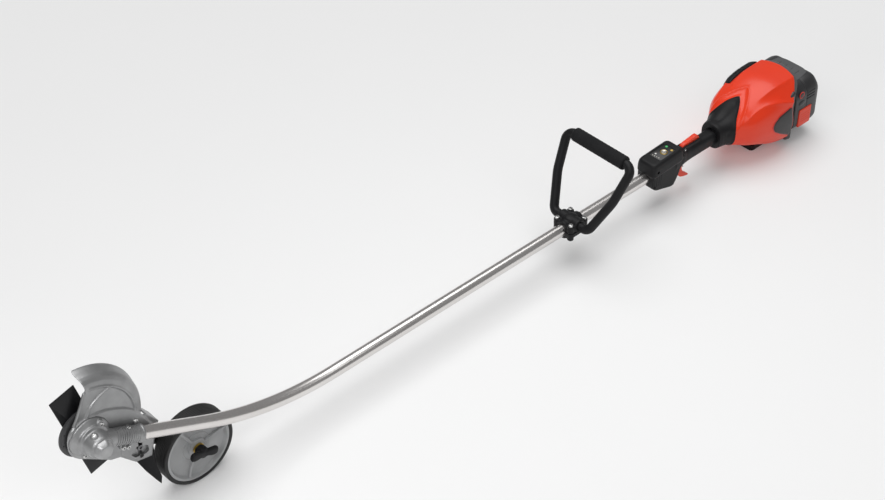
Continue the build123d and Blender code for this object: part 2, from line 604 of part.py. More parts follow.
def make_trigger():
    x, z = TRIGGER_PIVOT_X, TRIGGER_PIVOT_Z
    blade = [(x - 4, z + 3), (x + 8, z + 3), (x + 13, z - 6), (x + 20, z - 26), (x + 30, z - 40),
             (x + 27, z - 43), (x + 15, z - 34), (x + 6, z - 18), (x - 4, z - 5)]
    body = across(blade, -7.9, 7.9)
    body -= rod(PIN_RADIUS + RUN_CLEARANCE, (x, -10, z), (x, 10, z))
    parts["trigger"] = body
    switch = block((x - 34, -7, z - 6), (x - 8, 7, z + 5.5))
    switch += rod(1.6, (x - 8.2, 0, z - 3), (x - 5, 0, z - 3))
    parts["trigger_switch"] = switch


def make_lockout():
    x, z = LEVER_PIVOT_X, LEVER_PIVOT_Z
    low = z - 3
    lever = across([(x - 4, low), (x - 4, z + 4), (x + 8, z + 11), (x + 50, z + 16), (x + 56, z + 14),
                    (x + 54, z + 8), (x + 20, low)], -7.9, 7.9)
    lever -= rod(PIN_RADIUS + RUN_CLEARANCE, (x, -10, z), (x, 10, z))
    parts["lockout_lever"] = lever
    pins = [rod(PIN_RADIUS, (px, -12, pz), (px, 12, pz))
            for px, pz in ((x, z), (TRIGGER_PIVOT_X, TRIGGER_PIVOT_Z))]
    parts["lever_pins"] = Compound(children=pins)


# ---- motor unit ----

def motor_section(x, half_width, half_height, rise, wall):
    w, h = half_width - wall, half_height - wall
    corner = 0.82 * min(w, h)
    plane = Plane(origin=(x, 0, SHAFT_Z + rise), x_dir=(0, 1, 0), z_dir=(1, 0, 0))
    return plane * RectangleRounded(2 * w, 2 * h, corner)


# Each section of the motor covers: x, half width, half height, and how far its middle lies above the shaft.
MOTOR_SECTIONS = [(1529, 26.5, 29, 4), (1562, 39, 34, 4.5), (1595, 61, 49, 7.6), (1627, 71, 62, 8),
                  (1668, 77.5, 76, 4.5), (COVER_REAR, 80, 81, 1.3)]


def motor_shape(wall):
    return loft([motor_section(*section, wall) for section in MOTOR_SECTIONS])


def make_motor_covers():
    shell = motor_shape(0) - motor_shape(SHELL_WALL)
    leaf = Plane(origin=(1569, 0, SHAFT_Z), z_dir=(1, 0, -0.28))
    cover = split(shell, bisect_by=leaf, keep=Keep.TOP)
    boot = split(shell, bisect_by=leaf, keep=Keep.BOTTOM)
    parts["neck_boot"] = boot
    seam = Plane(origin=(0, 0, SHAFT_Z - 46), z_dir=(0, 0, 1))
    parts["motor_cover_top"] = split(cover, bisect_by=seam, keep=Keep.TOP)
    parts["motor_cover_bottom"] = split(cover, bisect_by=seam, keep=Keep.BOTTOM)
    rail = motor_shape(-RAIL_RISE) - motor_shape(0)
    parts["vent_rail"] = rail & block((1634, 30, SHAFT_Z + 30), (COVER_REAR, 62, SHAFT_Z + 100))


def make_rear_frame():
    x0, x1 = COVER_REAR + 0.3, COVER_REAR + 18
    lay = Plane(origin=(x0, 0, SHAFT_Z + 1.3), x_dir=(0, 1, 0), z_dir=(1, 0, 0))
    outer = lay * RectangleRounded(158, 162, 50)
    body = extrude(outer, amount=x1 - x0)
    body += block((x0, -46, SHAFT_Z + 52), (BATTERY_REAR - 22, 46, SHAFT_Z + 74))
    pocket = block((x0 + 6, BAY_NEAR, SHAFT_Z - 66), (BATTERY_REAR + 20, -BAY_NEAR, SHAFT_Z + 62))
    body -= pocket
    for y in (-15, -5, 5, 15):
        body += block((x0 + 5, y - 1, SHAFT_Z - 26), (x0 + 9.5, y + 1, SHAFT_Z - 10))
    parts["rear_frame"] = body


def make_foot():
    x0 = 1640
    foot = block((x0, -26, FLOOR_Z), (x0 + 60, 26, FLOOR_Z + 12))
    foot = fillet(foot.edges().filter_by(Axis.Z), 8)
    parts["skid_foot"] = foot - motor_shape(0)


def make_motor():
    start = MOTOR_FRONT
    bell = ring(BELL_RADIUS, 17, (start - 12, 0, 0), (start - 6, 0, 0))
    bell += ring(BELL_RADIUS, STATOR_RADIUS, (start - 6.5, 0, 0), (start + 4, 0, 0))
    bell += ring(20, TUBE_RADIUS, (GRIP_REAR + 4, 0, 0), (TUBE_LAST, 0, 0))
    bell += ring(20, 15, (TUBE_LAST, 0, 0), (start - 12, 0, 0))
    bell += ring(BELL_RADIUS, 14, (start - 12, 0, 0), (start - 8, 0, 0))
    bell -= ring(14, 5, (start - 12, 0, 0), (start - 4, 0, 0))
    stator = ring(STATOR_RADIUS, STATOR_RADIUS - 5, (start + 6, 0, 0), (MOTOR_REAR - 6, 0, 0))
    windings = []
    for i in range(9):
        turn = Rot(40 * i, 0, 0)
        stator += turn * block((start + 6, -3, ROTOR_RADIUS + 1), (MOTOR_REAR - 6, 3, STATOR_RADIUS - 3))
        coil = block((start + 2, -5.6, ROTOR_RADIUS + 3), (MOTOR_REAR - 2, 5.6, STATOR_RADIUS - 6))
        coil -= block((start + 6, -3, 0), (MOTOR_REAR - 6, 3, STATOR_RADIUS))
        windings.append(on_shaft(turn * coil))
    parts["motor_stator"] = on_shaft(stator)
    parts["stator_windings"] = Compound(children=windings)
    can = ring(STATOR_RADIUS + 3, STATOR_RADIUS, (start - 0.5, 0, 0), (MOTOR_REAR + 2, 0, 0))
    can += ring(STATOR_RADIUS + 3, 8, (MOTOR_REAR + 2, 0, 0), (MOTOR_REAR + 5, 0, 0))
    parts["motor_housing"] = on_shaft(bell + can)
    rotor = ring(ROTOR_RADIUS, MOTOR_SHAFT_RADIUS, (start + 6, 0, 0), (MOTOR_REAR - 6, 0, 0))
    parts["motor_rotor"] = on_shaft(rotor)
    shaft = rod(MOTOR_SHAFT_RADIUS, (TUBE_LAST + 16, 0, 0), (MOTOR_REAR + 22, 0, 0))
    parts["motor_shaft"] = on_shaft(shaft)
    bore = MOTOR_SHAFT_RADIUS + RUN_CLEARANCE
    bearings = [on_shaft(ring(14, bore, (start - 12, 0, 0), (start - 4, 0, 0))),
                on_shaft(ring(8, bore, (MOTOR_REAR + 0.5, 0, 0), (MOTOR_REAR + 5, 0, 0)))]
    parts["motor_bearings"] = Compound(children=bearings)
    coupler = ring(9, MOTOR_SHAFT_RADIUS, (TUBE_LAST + 15, 0, 0), (TUBE_LAST + 38, 0, 0))
    coupler += ring(9, CABLE_RADIUS + 0.3, (TUBE_LAST + 1, 0, 0), (TUBE_LAST + 15, 0, 0))
    parts["drive_coupler"] = on_shaft(coupler)
    fan = ring(14, MOTOR_SHAFT_RADIUS, (MOTOR_REAR + 8, 0, 0), (MOTOR_REAR + 18, 0, 0))
    fan += ring(40, MOTOR_SHAFT_RADIUS, (MOTOR_REAR + 8, 0, 0), (MOTOR_REAR + 10, 0, 0))
    for i in range(11):
        vane = block((MOTOR_REAR + 9, -1, 12), (MOTOR_REAR + 18, 1, 39))
        fan += Rot(360 / 11 * i, 0, 0) * vane
    parts["cooling_fan"] = on_shaft(fan)
    board = block((COVER_REAR - 16, -52, SHAFT_Z - 44), (COVER_REAR - 13, 52, SHAFT_Z + 44))
    for y in (-30, 0, 30):
        board += block((COVER_REAR - 13.5, y - 9, SHAFT_Z - 30), (COVER_REAR - 5, y + 9, SHAFT_Z + 30))
    parts["controller_board"] = board


def make_battery():
    x0 = COVER_REAR + 6.8
    low, high = SHAFT_Z - 65.5, SHAFT_Z + 61.5
    case = block((x0, BAY_NEAR + 0.5, low), (BATTERY_REAR, -BAY_NEAR - 0.5, high))
    case = fillet(case.edges().filter_by(Axis.X), 12)
    case = fillet(case.faces().sort_by(Axis.X)[-1].edges(), 7)
    case -= block((x0 + 3, BAY_NEAR + 4, low + 4), (BATTERY_REAR - 3.5, -BAY_NEAR - 4, high - 4))
    case -= block((x0 - 1, -22, SHAFT_Z - 30), (x0 + 3.5, 22, SHAFT_Z - 6))
    case -= latch_window()
    parts["battery_case"] = case
    cells = []
    for row in range(5):
        for column in range(3):
            y = -44 + 22 * row
            z = SHAFT_Z - 24 + 22 * column
            cells.append(rod(10.5, (x0 + 6, y, z), (x0 + 76, y, z)))
    parts["battery_cells"] = Compound(children=cells)
    latch = block((LATCH_X - 20, BAY_NEAR - 1.5, SHAFT_Z - 42), (LATCH_X + 20, BAY_NEAR + 2.5, SHAFT_Z + 2))
    latch += block((LATCH_X - 23, BAY_NEAR + 4.2, SHAFT_Z - 45), (LATCH_X + 23, BAY_NEAR + 6, SHAFT_Z + 5))
    latch += block((LATCH_X - 18, BAY_NEAR + 2, SHAFT_Z - 40), (LATCH_X + 18, BAY_NEAR + 5, SHAFT_Z))
    parts["battery_latch"] = latch


def latch_window():
    return block((LATCH_X - 20.4, BAY_NEAR - 3, SHAFT_Z - 42.4), (LATCH_X + 20.4, BAY_NEAR + 4.2, SHAFT_Z + 2.4))


make_shaft()
make_bevel_gear()
make_pinion()
make_gearcase()
socket_screws = make_gearcase_trim()
make_head_bearings()
make_cutter()
guard_screws = make_guard()
parts["head_screws"] = Compound(children=socket_screws + guard_screws)
make_flap()
make_wheel_carrier()
make_wheel()
make_knob()
make_front_handle()
make_clamp()
make_rear_case()
make_keypad()
make_trigger()
make_lockout()
make_motor_covers()
make_rear_frame()
make_foot()
make_motor()
make_battery()


def whole_box():
    """The lowest and highest corners of everything together."""
    boxes = [shape.bounding_box() for shape in parts.values()]
    low = [min(tuple(box.min)[i] for box in boxes) for i in range(3)]
    high = [max(tuple(box.max)[i] for box in boxes) for i in range(3)]
    return low, high


low_corner, high_corner = whole_box()
origin = ((low_corner[0] + high_corner[0]) / 2, (low_corner[1] + high_corner[1]) / 2, low_corner[2])
to_origin = Pos(-origin[0], -origin[1], -origin[2])

os.makedirs("parts", exist_ok=True)
for name, shape in parts.items():
    placed = to_origin * shape
    placed.label = name
    export_step(placed, f"parts/{name}.step")
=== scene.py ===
import bmesh
import bpy
import json
import math
from mathutils import Matrix, Vector


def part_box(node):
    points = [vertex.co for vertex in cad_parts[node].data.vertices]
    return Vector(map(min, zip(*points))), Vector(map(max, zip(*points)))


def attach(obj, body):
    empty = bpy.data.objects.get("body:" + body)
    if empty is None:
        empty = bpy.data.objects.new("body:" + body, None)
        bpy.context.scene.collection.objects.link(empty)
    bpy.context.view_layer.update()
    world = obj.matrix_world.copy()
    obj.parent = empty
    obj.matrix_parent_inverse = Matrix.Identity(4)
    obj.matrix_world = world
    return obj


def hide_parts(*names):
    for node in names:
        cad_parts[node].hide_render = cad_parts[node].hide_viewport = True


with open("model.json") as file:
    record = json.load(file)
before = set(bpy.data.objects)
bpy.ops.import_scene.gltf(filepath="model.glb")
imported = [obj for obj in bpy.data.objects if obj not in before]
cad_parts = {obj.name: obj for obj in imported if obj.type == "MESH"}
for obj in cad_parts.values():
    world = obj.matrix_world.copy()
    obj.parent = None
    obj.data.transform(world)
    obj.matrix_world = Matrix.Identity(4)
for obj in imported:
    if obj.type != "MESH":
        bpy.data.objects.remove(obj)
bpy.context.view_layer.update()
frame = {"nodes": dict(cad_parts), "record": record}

# Lengths are millimetres from the crossing of the spindle's axis and the drive axis: +X back along the shaft,
# +Y away to the blade's side, +Z up. place() turns them to the frame's metres.
# HEAD_SLOPE is the slope of the lower shaft.
MM = 0.001
HEAD_SLOPE = math.radians(26)
SPINDLE_NEAR_END = -27.5
spindle_low, spindle_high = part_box("spindle")
CROSSING = Vector(((spindle_low.x + spindle_high.x) / 2, spindle_low.y - SPINDLE_NEAR_END * MM,
                   (spindle_low.z + spindle_high.z) / 2))


def place(x, y, z):
    return CROSSING + Vector((x, y, z)) * MM


def low_high(node):
    """A CAD node's lowest and highest corners, in millimetres from the crossing."""
    low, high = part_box(node)
    return (low - CROSSING) / MM, (high - CROSSING) / MM


def middle(node):
    low, high = low_high(node)
    return (low + high) / 2


SHAFT_Z = middle("motor_shaft").z
FLOOR_Z = low_high("tyre")[0].z


# ---- mesh tools ----

def turn(degrees, axis):
    return Matrix.Rotation(math.radians(degrees), 4, axis)


def move(x, y, z):
    return Matrix.Translation((x, y, z))


TO_Y = turn(-90, "X")      # local z becomes +Y, local x stays
TO_X = turn(90, "Y")       # local z becomes +X
TO_NEAR = turn(90, "X")    # local z becomes -Y
SLANT = Matrix.Rotation(HEAD_SLOPE, 4, "Y")
TO_REAR = Vector((1, 0, 0))  # the up that a tube along Y needs


def add_rings(bm, rings, closed=False, caps=True):
    """Bridge a list of rings of points into a surface. closed joins the last ring to the first."""
    made = [[bm.verts.new(p) for p in ring] for ring in rings]
    count = len(made[0])
    for a, b in zip(made, made[1:] + (made[:1] if closed else [])):
        for i in range(count):
            j = (i + 1) % count
            bm.faces.new((a[i], a[j], b[j], b[i]))
    if caps and not closed:
        bm.faces.new(list(reversed(made[0])))
        bm.faces.new(made[-1])


def add_lathe(bm, profile, at=Matrix(), segments=72, closed=False):
    """Turn (radius, height) points about local z. closed joins the last point to the first."""
    rings = []
    for radius, height in profile:
        ring = []
        for i in range(segments):
            angle = 2 * math.pi * i / segments
            ring.append(at @ Vector((radius * math.cos(angle), radius * math.sin(angle), height)))
        rings.append(ring)
    add_rings(bm, rings, closed=closed)


def add_prism(bm, outline, low, high, at=Matrix()):
    """An outline of (u, v) points made solid from local z low to high."""
    rings = [[at @ Vector((u, v, w)) for u, v in outline] for w in (low, high)]
    add_rings(bm, rings)


def add_side(bm, outline, y_from, y_to, at=Matrix()):
    """An outline of (x, z) points made solid from one y to another."""
    add_prism(bm, [(x, z) for x, z in outline], -y_to, -y_from, at @ TO_NEAR)


def add_box(bm, low, high, at=Matrix()):
    outline = [(low[0], low[1]), (high[0], low[1]), (high[0], high[1]), (low[0], high[1])]
    add_prism(bm, outline, low[2], high[2], at)


def add_tube(bm, points, radii, sides=32, up=Vector((0, 1, 0))):
    """A round rod along points, none of them along up; radii is one number or one for each point."""
    points = [Vector(p) for p in points]
    if not isinstance(radii, (list, tuple)):
        radii = [radii] * len(points)
    rings = []
    for i, point in enumerate(points):
        ahead = points[min(i + 1, len(points) - 1)] - points[max(i - 1, 0)]
        side = ahead.normalized().cross(up).normalized()
        rise = side.cross(ahead).normalized()
        ring = []
        for k in range(sides):
            angle = 2 * math.pi * k / sides
            ring.append(point + side * radii[i] * math.cos(angle) + rise * radii[i] * math.sin(angle))
        rings.append(ring)
    add_rings(bm, rings)


def hexagon_cosine(angle):
    """The cosine of the angle from the middle of a hexagon's nearest side, which divides its reach."""
    return math.cos((angle + math.pi / 6) % (math.pi / 3) - math.pi / 6)


def soft_reach(c, s, power):
    """How far a superellipse of this power stands off in the direction (c, s)."""
    return (abs(c) ** power + abs(s) ** power) ** (-1 / power)


def add_cap_screw(bm, at, radius, height):
    """A socket screw's head, standing up from local z = 0, with its hexagon socket."""
    turns = [k * math.pi / 18 for k in range(36)]
    shape = [(radius, -2), (radius, height * 0.72), (radius * 0.93, height * 0.92), (radius * 0.78, height)]
    rings = [[at @ Vector((r * math.cos(a), r * math.sin(a), z)) for a in turns] for r, z in shape]
    for z in (height, height * 0.45):
        ring = []
        for a in turns:
            r = radius * 0.44 / hexagon_cosine(a)
            ring.append(at @ Vector((r * math.cos(a), r * math.sin(a), z)))
        rings.append(ring)
    add_rings(bm, rings)


def round_section(reach, height, radius, count):
    """A circle of (radius, height) points for a lathe, which turns it into a ring."""
    turns = [k * math.pi / (count / 2) for k in range(count)]
    return [(reach + radius * math.cos(a), height + radius * math.sin(a)) for a in turns]


def rounded_outline(outline, radius, steps=5):
    """Replace each corner of a convex or concave outline by a short curve."""
    result = []
    count = len(outline)
    for i in range(count):
        corner = Vector(outline[i])
        before = Vector(outline[i - 1]) - corner
        after = Vector(outline[(i + 1) % count]) - corner
        cut = min(radius, before.length * 0.48, after.length * 0.48)
        first, last = corner + before.normalized() * cut, corner + after.normalized() * cut
        for k in range(steps + 1):
            t = k / steps
            result.append(tuple(first * (1 - t) ** 2 + corner * 2 * t * (1 - t) + last * t ** 2))
    return result


def curve_through(points, steps=8):
    """A smooth curve through points, by Catmull-Rom spans."""
    points = [Vector(p) for p in points]
    ends = [points[0] * 2 - points[1]] + points + [points[-1] * 2 - points[-2]]
    result = []
    for i in range(1, len(ends) - 2):
        a, b, c, d = ends[i - 1:i + 3]
        for k in range(steps):
            t = k / steps
            result.append(0.5 * (2 * b + (c - a) * t + (2 * a - 5 * b + 4 * c - d) * t ** 2
                                 + (3 * b - a - 3 * c + d) * t ** 3))
    result.append(points[-1])
    return result


def shaped(obj, kind, **settings):
    """Apply one modifier to the object's mesh."""
    modifier = obj.modifiers.new(kind.lower(), kind)
    for key, value in settings.items():
        setattr(modifier, key, value)
    graph = bpy.context.evaluated_depsgraph_get()
    mesh = bpy.data.meshes.new_from_object(obj.evaluated_get(graph))
    obj.modifiers.clear()
    old = obj.data
    obj.data = mesh
    bpy.data.meshes.remove(old)
    return obj


def loose(name, bm):
    """A mesh object from millimetre geometry, in the frame's metres, not yet riding on anything."""
    bmesh.ops.recalc_face_normals(bm, faces=bm.faces)
    mesh = bpy.data.meshes.new(name)
    bm.to_mesh(mesh)
    bm.free()
    mesh.transform(Matrix.Translation(CROSSING) @ Matrix.Scale(MM, 4))
    obj = bpy.data.objects.new(name, mesh)
    bpy.context.scene.collection.objects.link(obj)
    return obj


def bevelled(obj, width, segments=3, angle=32):
    return shaped(obj, "BEVEL", width=width * MM, segments=segments, limit_method="ANGLE",
                  angle_limit=math.radians(angle), harden_normals=False, miter_outer="MITER_ARC")


def fused(obj, voxel, rounds=4, strength=0.6):
    """Melt overlapping solids into one skin with soft inner corners, as a casting or moulding has."""
    shaped(obj, "REMESH", mode="VOXEL", voxel_size=voxel * MM)
    return shaped(obj, "SMOOTH", factor=strength, iterations=rounds)


def cut_by(obj, cutter_bm):
    """Take the cutter's geometry away from the object."""
    cutter = loose("cutter", cutter_bm)
    shaped(obj, "BOOLEAN", operation="DIFFERENCE", solver="EXACT", object=cutter)
    bpy.data.objects.remove(cutter)
    return obj


def cut_with(obj, add, *shape, **more):
    """Take away from the object what one call of an add function builds."""
    bm = bmesh.new()
    add(bm, *shape, **more)
    return cut_by(obj, bm)


def cut_bore(obj, x, z, y_from, y_to, radius, sides=48):
    """Take a round hole along Y away from the object."""
    return cut_with(obj, add_tube, [(x, y_from, z), (x, y_to, z)], radius, sides, up=TO_REAR)


def solid(name, add, *shape, **more):
    """A loose object built by one call of an add function."""
    bm = bmesh.new()
    add(bm, *shape, **more)
    return loose(name, bm)


def finished(obj, body, slot, stands_for=None, smooth=38, look=None):
    """Shade the piece, give it its slot's look or another, and hand it to the frame."""
    obj.data.materials.clear()
    obj.data.materials.append(looks[look or slot])
    obj.data.shade_smooth()
    obj.data.set_sharp_from_angle(angle=math.radians(smooth))
    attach(obj, body)
    if stands_for:
        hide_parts(stands_for)


# ---- materials ----

def blank_material(name):
    material = bpy.data.materials.new(name)
    material.use_nodes = True
    return material, material.node_tree, material.node_tree.nodes["Principled BSDF"]


def noise_node(tree, scale, detail=4.0, stretch=(1, 1, 1), rough=0.55):
    """Noise in object space, where scale is in grains per metre; stretch squeezes it along an axis."""
    where = tree.nodes.new("ShaderNodeTexCoord")
    mapping = tree.nodes.new("ShaderNodeMapping")
    mapping.inputs["Scale"].default_value = stretch
    noise = tree.nodes.new("ShaderNodeTexNoise")
    noise.inputs["Scale"].default_value = scale
    noise.inputs["Detail"].default_value = detail
    noise.inputs["Roughness"].default_value = rough
    tree.links.new(where.outputs["Object"], mapping.inputs["Vector"])
    tree.links.new(mapping.outputs["Vector"], noise.inputs["Vector"])
    return noise.outputs["Fac"]


def ramp_node(tree, value, low, high, start=0.3, end=0.7):
    """Turn 0..1 noise into a value or colour between two ends."""
    ramp = tree.nodes.new("ShaderNodeValToRGB")
    first, last = ramp.color_ramp.elements
    first.position, last.position = start, end
    for element, value_there in ((first, low), (last, high)):
        colour = value_there if isinstance(value_there, tuple) else (value_there,) * 3
        element.color = (*colour, 1)
    tree.links.new(value, ramp.inputs["Fac"])
    return ramp.outputs["Color"]


def bump_node(tree, value, strength, distance):
    bump = tree.nodes.new("ShaderNodeBump")
    bump.inputs["Strength"].default_value = strength
    bump.inputs["Distance"].default_value = distance * MM
    tree.links.new(value, bump.inputs["Height"])
    return bump.outputs["Normal"]


def surface(name, dark, light, rough, metallic=0.0, grain=900, bump=0.2, depth=0.05, coat=0.0, blotch=25,
            specular=0.5, stretch=(1, 1, 1)):
    """A material whose colour and roughness drift slowly and whose grain stands in a fine bump."""
    material, tree, shader = blank_material(name)
    drift = noise_node(tree, blotch, 3.0)
    fine = noise_node(tree, grain, 3.0, stretch)
    tree.links.new(ramp_node(tree, drift, dark, light), shader.inputs["Base Color"])
    tree.links.new(ramp_node(tree, fine, rough[0], rough[1]), shader.inputs["Roughness"])
    tree.links.new(bump_node(tree, fine, bump, depth), shader.inputs["Normal"])
    shader.inputs["Metallic"].default_value = metallic
    shader.inputs["Coat Weight"].default_value = coat
    shader.inputs["Coat Roughness"].default_value = 0.06
    shader.inputs["Specular IOR Level"].default_value = specular
    return material


# What each material slot looks like, and the few looks that differ from their slot's:
# the darker and the lighter colour, the roughness from and to, and what else surface() takes.
LOOKS = {
    "cast_aluminium": ((0.28, 0.282, 0.285), (0.34, 0.342, 0.345), (0.38, 0.46),
        dict(metallic=0.8, grain=1500, bump=0.12, depth=0.05, blotch=40)),
    # A lighter copy of the cast aluminium: a painted highlight that stands in for the light falling on the
    # nose plug.
    "cast_painted_highlight": ((0.34, 0.342, 0.345), (0.41, 0.412, 0.415), (0.38, 0.46),
        dict(metallic=0.8, grain=1500, bump=0.12, depth=0.06, blotch=55)),
    "tube_aluminium": ((0.70, 0.675, 0.66), (0.76, 0.735, 0.72), (0.20, 0.24),
        dict(metallic=1.0, grain=500, bump=0.0, depth=0.01, blotch=6)),
    "black_plastic": ((0.008, 0.008, 0.009), (0.013, 0.013, 0.014), (0.40, 0.52),
        dict(grain=2200, bump=0.25, depth=0.06, specular=0.2)),
    "keypad_black": ((0.010, 0.010, 0.011), (0.016, 0.016, 0.017), (0.3, 0.38),
        dict(grain=1500, bump=0.05, depth=0.02)),
    "orange_gloss": ((0.80, 0.036, 0.005), (0.86, 0.044, 0.007), (0.30, 0.36),
        dict(grain=260, bump=0.02, depth=0.03, coat=0.15, blotch=9, specular=0.4)),
    "orange_control": ((0.78, 0.038, 0.006), (0.84, 0.048, 0.008), (0.34, 0.44),
        dict(grain=1600, bump=0.08, depth=0.03)),
    "frame_grey": ((0.075, 0.076, 0.079), (0.095, 0.096, 0.099), (0.42, 0.54),
        dict(grain=2000, bump=0.2, depth=0.05)),
    "battery_black": ((0.022, 0.022, 0.024), (0.032, 0.032, 0.034), (0.38, 0.5),
        dict(grain=2100, bump=0.22, depth=0.05)),
    "hub_grey": ((0.34, 0.345, 0.35), (0.40, 0.405, 0.41), (0.38, 0.5),
        dict(grain=1400, bump=0.1, depth=0.04)),
    "tyre_black": ((0.007, 0.007, 0.007), (0.014, 0.014, 0.014), (0.5, 0.68),
        dict(grain=1300, bump=0.35, depth=0.09)),
    "rubber": ((0.006, 0.006, 0.007), (0.010, 0.010, 0.011), (0.5, 0.62),
        dict(grain=2600, bump=0.2, depth=0.05, specular=0.15)),
    "foam": ((0.006, 0.006, 0.007), (0.011, 0.011, 0.012), (0.78, 0.95),
        dict(grain=900, bump=0.9, depth=0.4, specular=0.3)),
    "blade_steel": ((0.004, 0.004, 0.005), (0.008, 0.008, 0.009), (0.34, 0.46),
        dict(grain=1200, bump=0.12, depth=0.04, specular=0.25)),
    "disc": ((0.024, 0.024, 0.026), (0.036, 0.036, 0.038), (0.4, 0.52),
        dict(grain=1300, bump=0.2, depth=0.06)),
    "bright_steel": ((0.50, 0.50, 0.50), (0.62, 0.62, 0.61), (0.2, 0.32),
        dict(metallic=1.0, grain=900, bump=0.06, depth=0.02)),
    "zinc_steel": ((0.16, 0.16, 0.165), (0.22, 0.22, 0.225), (0.34, 0.46),
        dict(metallic=1.0, grain=1100, bump=0.1, depth=0.03)),
    "brass": ((0.50, 0.33, 0.07), (0.62, 0.43, 0.11), (0.26, 0.38),
        dict(metallic=1.0, grain=900, bump=0.08, depth=0.03)),
    "liner_plastic": ((0.62, 0.62, 0.58), (0.70, 0.70, 0.66), (0.4, 0.5), {}),
    "lamination": ((0.18, 0.18, 0.19), (0.26, 0.26, 0.27), (0.4, 0.5),
        dict(metallic=1.0, stretch=(6, 0.1, 0.1))),
    "copper": ((0.45, 0.16, 0.05), (0.58, 0.22, 0.08), (0.25, 0.4), dict(metallic=1.0)),
    "board_green": ((0.01, 0.09, 0.03), (0.02, 0.13, 0.05), (0.35, 0.5), {}),
    "cell_wrap": ((0.03, 0.12, 0.30), (0.05, 0.16, 0.36), (0.3, 0.4), {}),
    "button_silver": ((0.42, 0.40, 0.36), (0.52, 0.50, 0.46), (0.28, 0.4),
        dict(metallic=1.0)),
    "lens": ((0.06, 0.42, 0.12), (0.09, 0.52, 0.17), (0.2, 0.3), {}),
    "lens_amber": ((0.55, 0.36, 0.06), (0.66, 0.45, 0.10), (0.2, 0.3), {}),
    "lens_white": ((0.62, 0.62, 0.60), (0.72, 0.72, 0.70), (0.25, 0.35), {}),
    "seam_red": ((0.55, 0.03, 0.02), (0.62, 0.04, 0.03), (0.35, 0.45), {}),
}
looks = {name: surface(name, dark, light, rough, **more)
         for name, (dark, light, rough, more) in LOOKS.items()}


def dress_cad_nodes():
    """Give every CAD node that stays visible the procedural material of its slot."""
    for part in frame["record"]["subparts"]:
        node = frame["nodes"][part["node"]]
        node.data.materials.clear()
        node.data.materials.append(looks[part["material_slot"]])
        node.data.shade_smooth()
        node.data.set_sharp_from_angle(angle=math.radians(32))


FLOOR_SHADE = 0.76
FLOOR_GLOW = 0.11


# ---- camera, floor and light ----

def make_camera():
    data = bpy.data.cameras.new("camera")
    data.sensor_width = 36
    data.lens = 77.4
    data.clip_start, data.clip_end = 0.05, 60
    camera = bpy.data.objects.new("camera", data)
    bpy.context.scene.collection.objects.link(camera)
    right = Vector((0.73195, -0.68132, -0.00658))
    up = Vector((0.43990, 0.46517, 0.76818))
    back = right.cross(up).normalized()
    turned = Matrix((right, up, back)).transposed().to_4x4()
    turned.translation = place(-1046.97, -1969.34, 2191.05)
    camera.matrix_world = turned
    bpy.context.scene.camera = camera


def make_light(name, size, watts, target, offset):
    """An oblong area light that stands off its target in metres, and that the camera doesn't see."""
    data = bpy.data.lights.new(name, "AREA")
    data.shape = "RECTANGLE"
    data.size, data.size_y = size
    data.energy = watts
    light = bpy.data.objects.new(name, data)
    light.location = target + Vector(offset)
    light.rotation_mode = "QUATERNION"
    light.rotation_quaternion = (target - light.location).to_track_quat("-Z", "Y")
    light.visible_camera = False
    bpy.context.scene.collection.objects.link(light)


def make_floor_material():
    """A pale sweep that glows a little, so that its far parts keep the tone of its near ones."""
    material, tree, shader = blank_material("floor_pale")
    drift = noise_node(tree, 3, 2.0)
    tree.links.new(ramp_node(tree, drift, FLOOR_SHADE * 0.995, FLOOR_SHADE), shader.inputs["Base Color"])
    shader.inputs["Roughness"].default_value = 0.95
    shader.inputs["Specular IOR Level"].default_value = 0.0
    shader.inputs["Emission Color"].default_value = (1, 1, 1, 1)
    shader.inputs["Emission Strength"].default_value = FLOOR_GLOW
    return material


def make_stage():
    bm = bmesh.new()
    add_box(bm, (-24000, -24000, FLOOR_Z - 30), (24000, 24000, FLOOR_Z - 0.05))
    floor = loose("floor", bm)
    floor.data.materials.append(make_floor_material())
    world = bpy.data.worlds.new("studio")
    world.use_nodes = True
    sky = world.node_tree.nodes["Background"]
    sky.inputs["Color"].default_value = (1, 1, 1, 1)
    sky.inputs["Strength"].default_value = 0.26
    bpy.context.scene.world = world
    bpy.context.scene.view_settings.view_transform = "Standard"
    data = bpy.data.lights.new("overhead", "SUN")
    data.energy = 1.88
    data.angle = math.radians(56)
    overhead = bpy.data.objects.new("overhead", data)
    overhead.rotation_mode = "QUATERNION"
    overhead.rotation_quaternion = Vector((-0.10, -0.19, -1)).to_track_quat("-Z", "Y")
    bpy.context.scene.collection.objects.link(overhead)
    head, rear = place(0, 0, 0), place(1650, 0, SHAFT_Z)
    make_light("head_strip", (0.5, 0.3), 3.2, head, (-0.55, -0.30, 0.65))
    make_light("front_soft", (2.6, 0.9), 8.0, (head + rear) / 2, (-0.9, -1.5, 1.9))
    make_light("rear_strip", (1.2, 0.3), 1.6, rear, (-0.75, -0.30, 0.95))


make_camera()
make_stage()
dress_cad_nodes()


# ---- motor unit: boot, covers, rail, rear frame, battery ----

# x, half width, half height and rise of the middle above the shaft's axis, as in the CAD covers.
MOTOR_SECTIONS = ((1529, 26.5, 29, 4), (1562, 39, 34, 4.5), (1595, 61, 49, 7.6), (1627, 71, 62, 8),
                  (1668, 77.5, 76, 4.5), (1712, 80, 81, 1.3), (1745, 80, 81, 1.3))
SECTION_POWER = 2.5
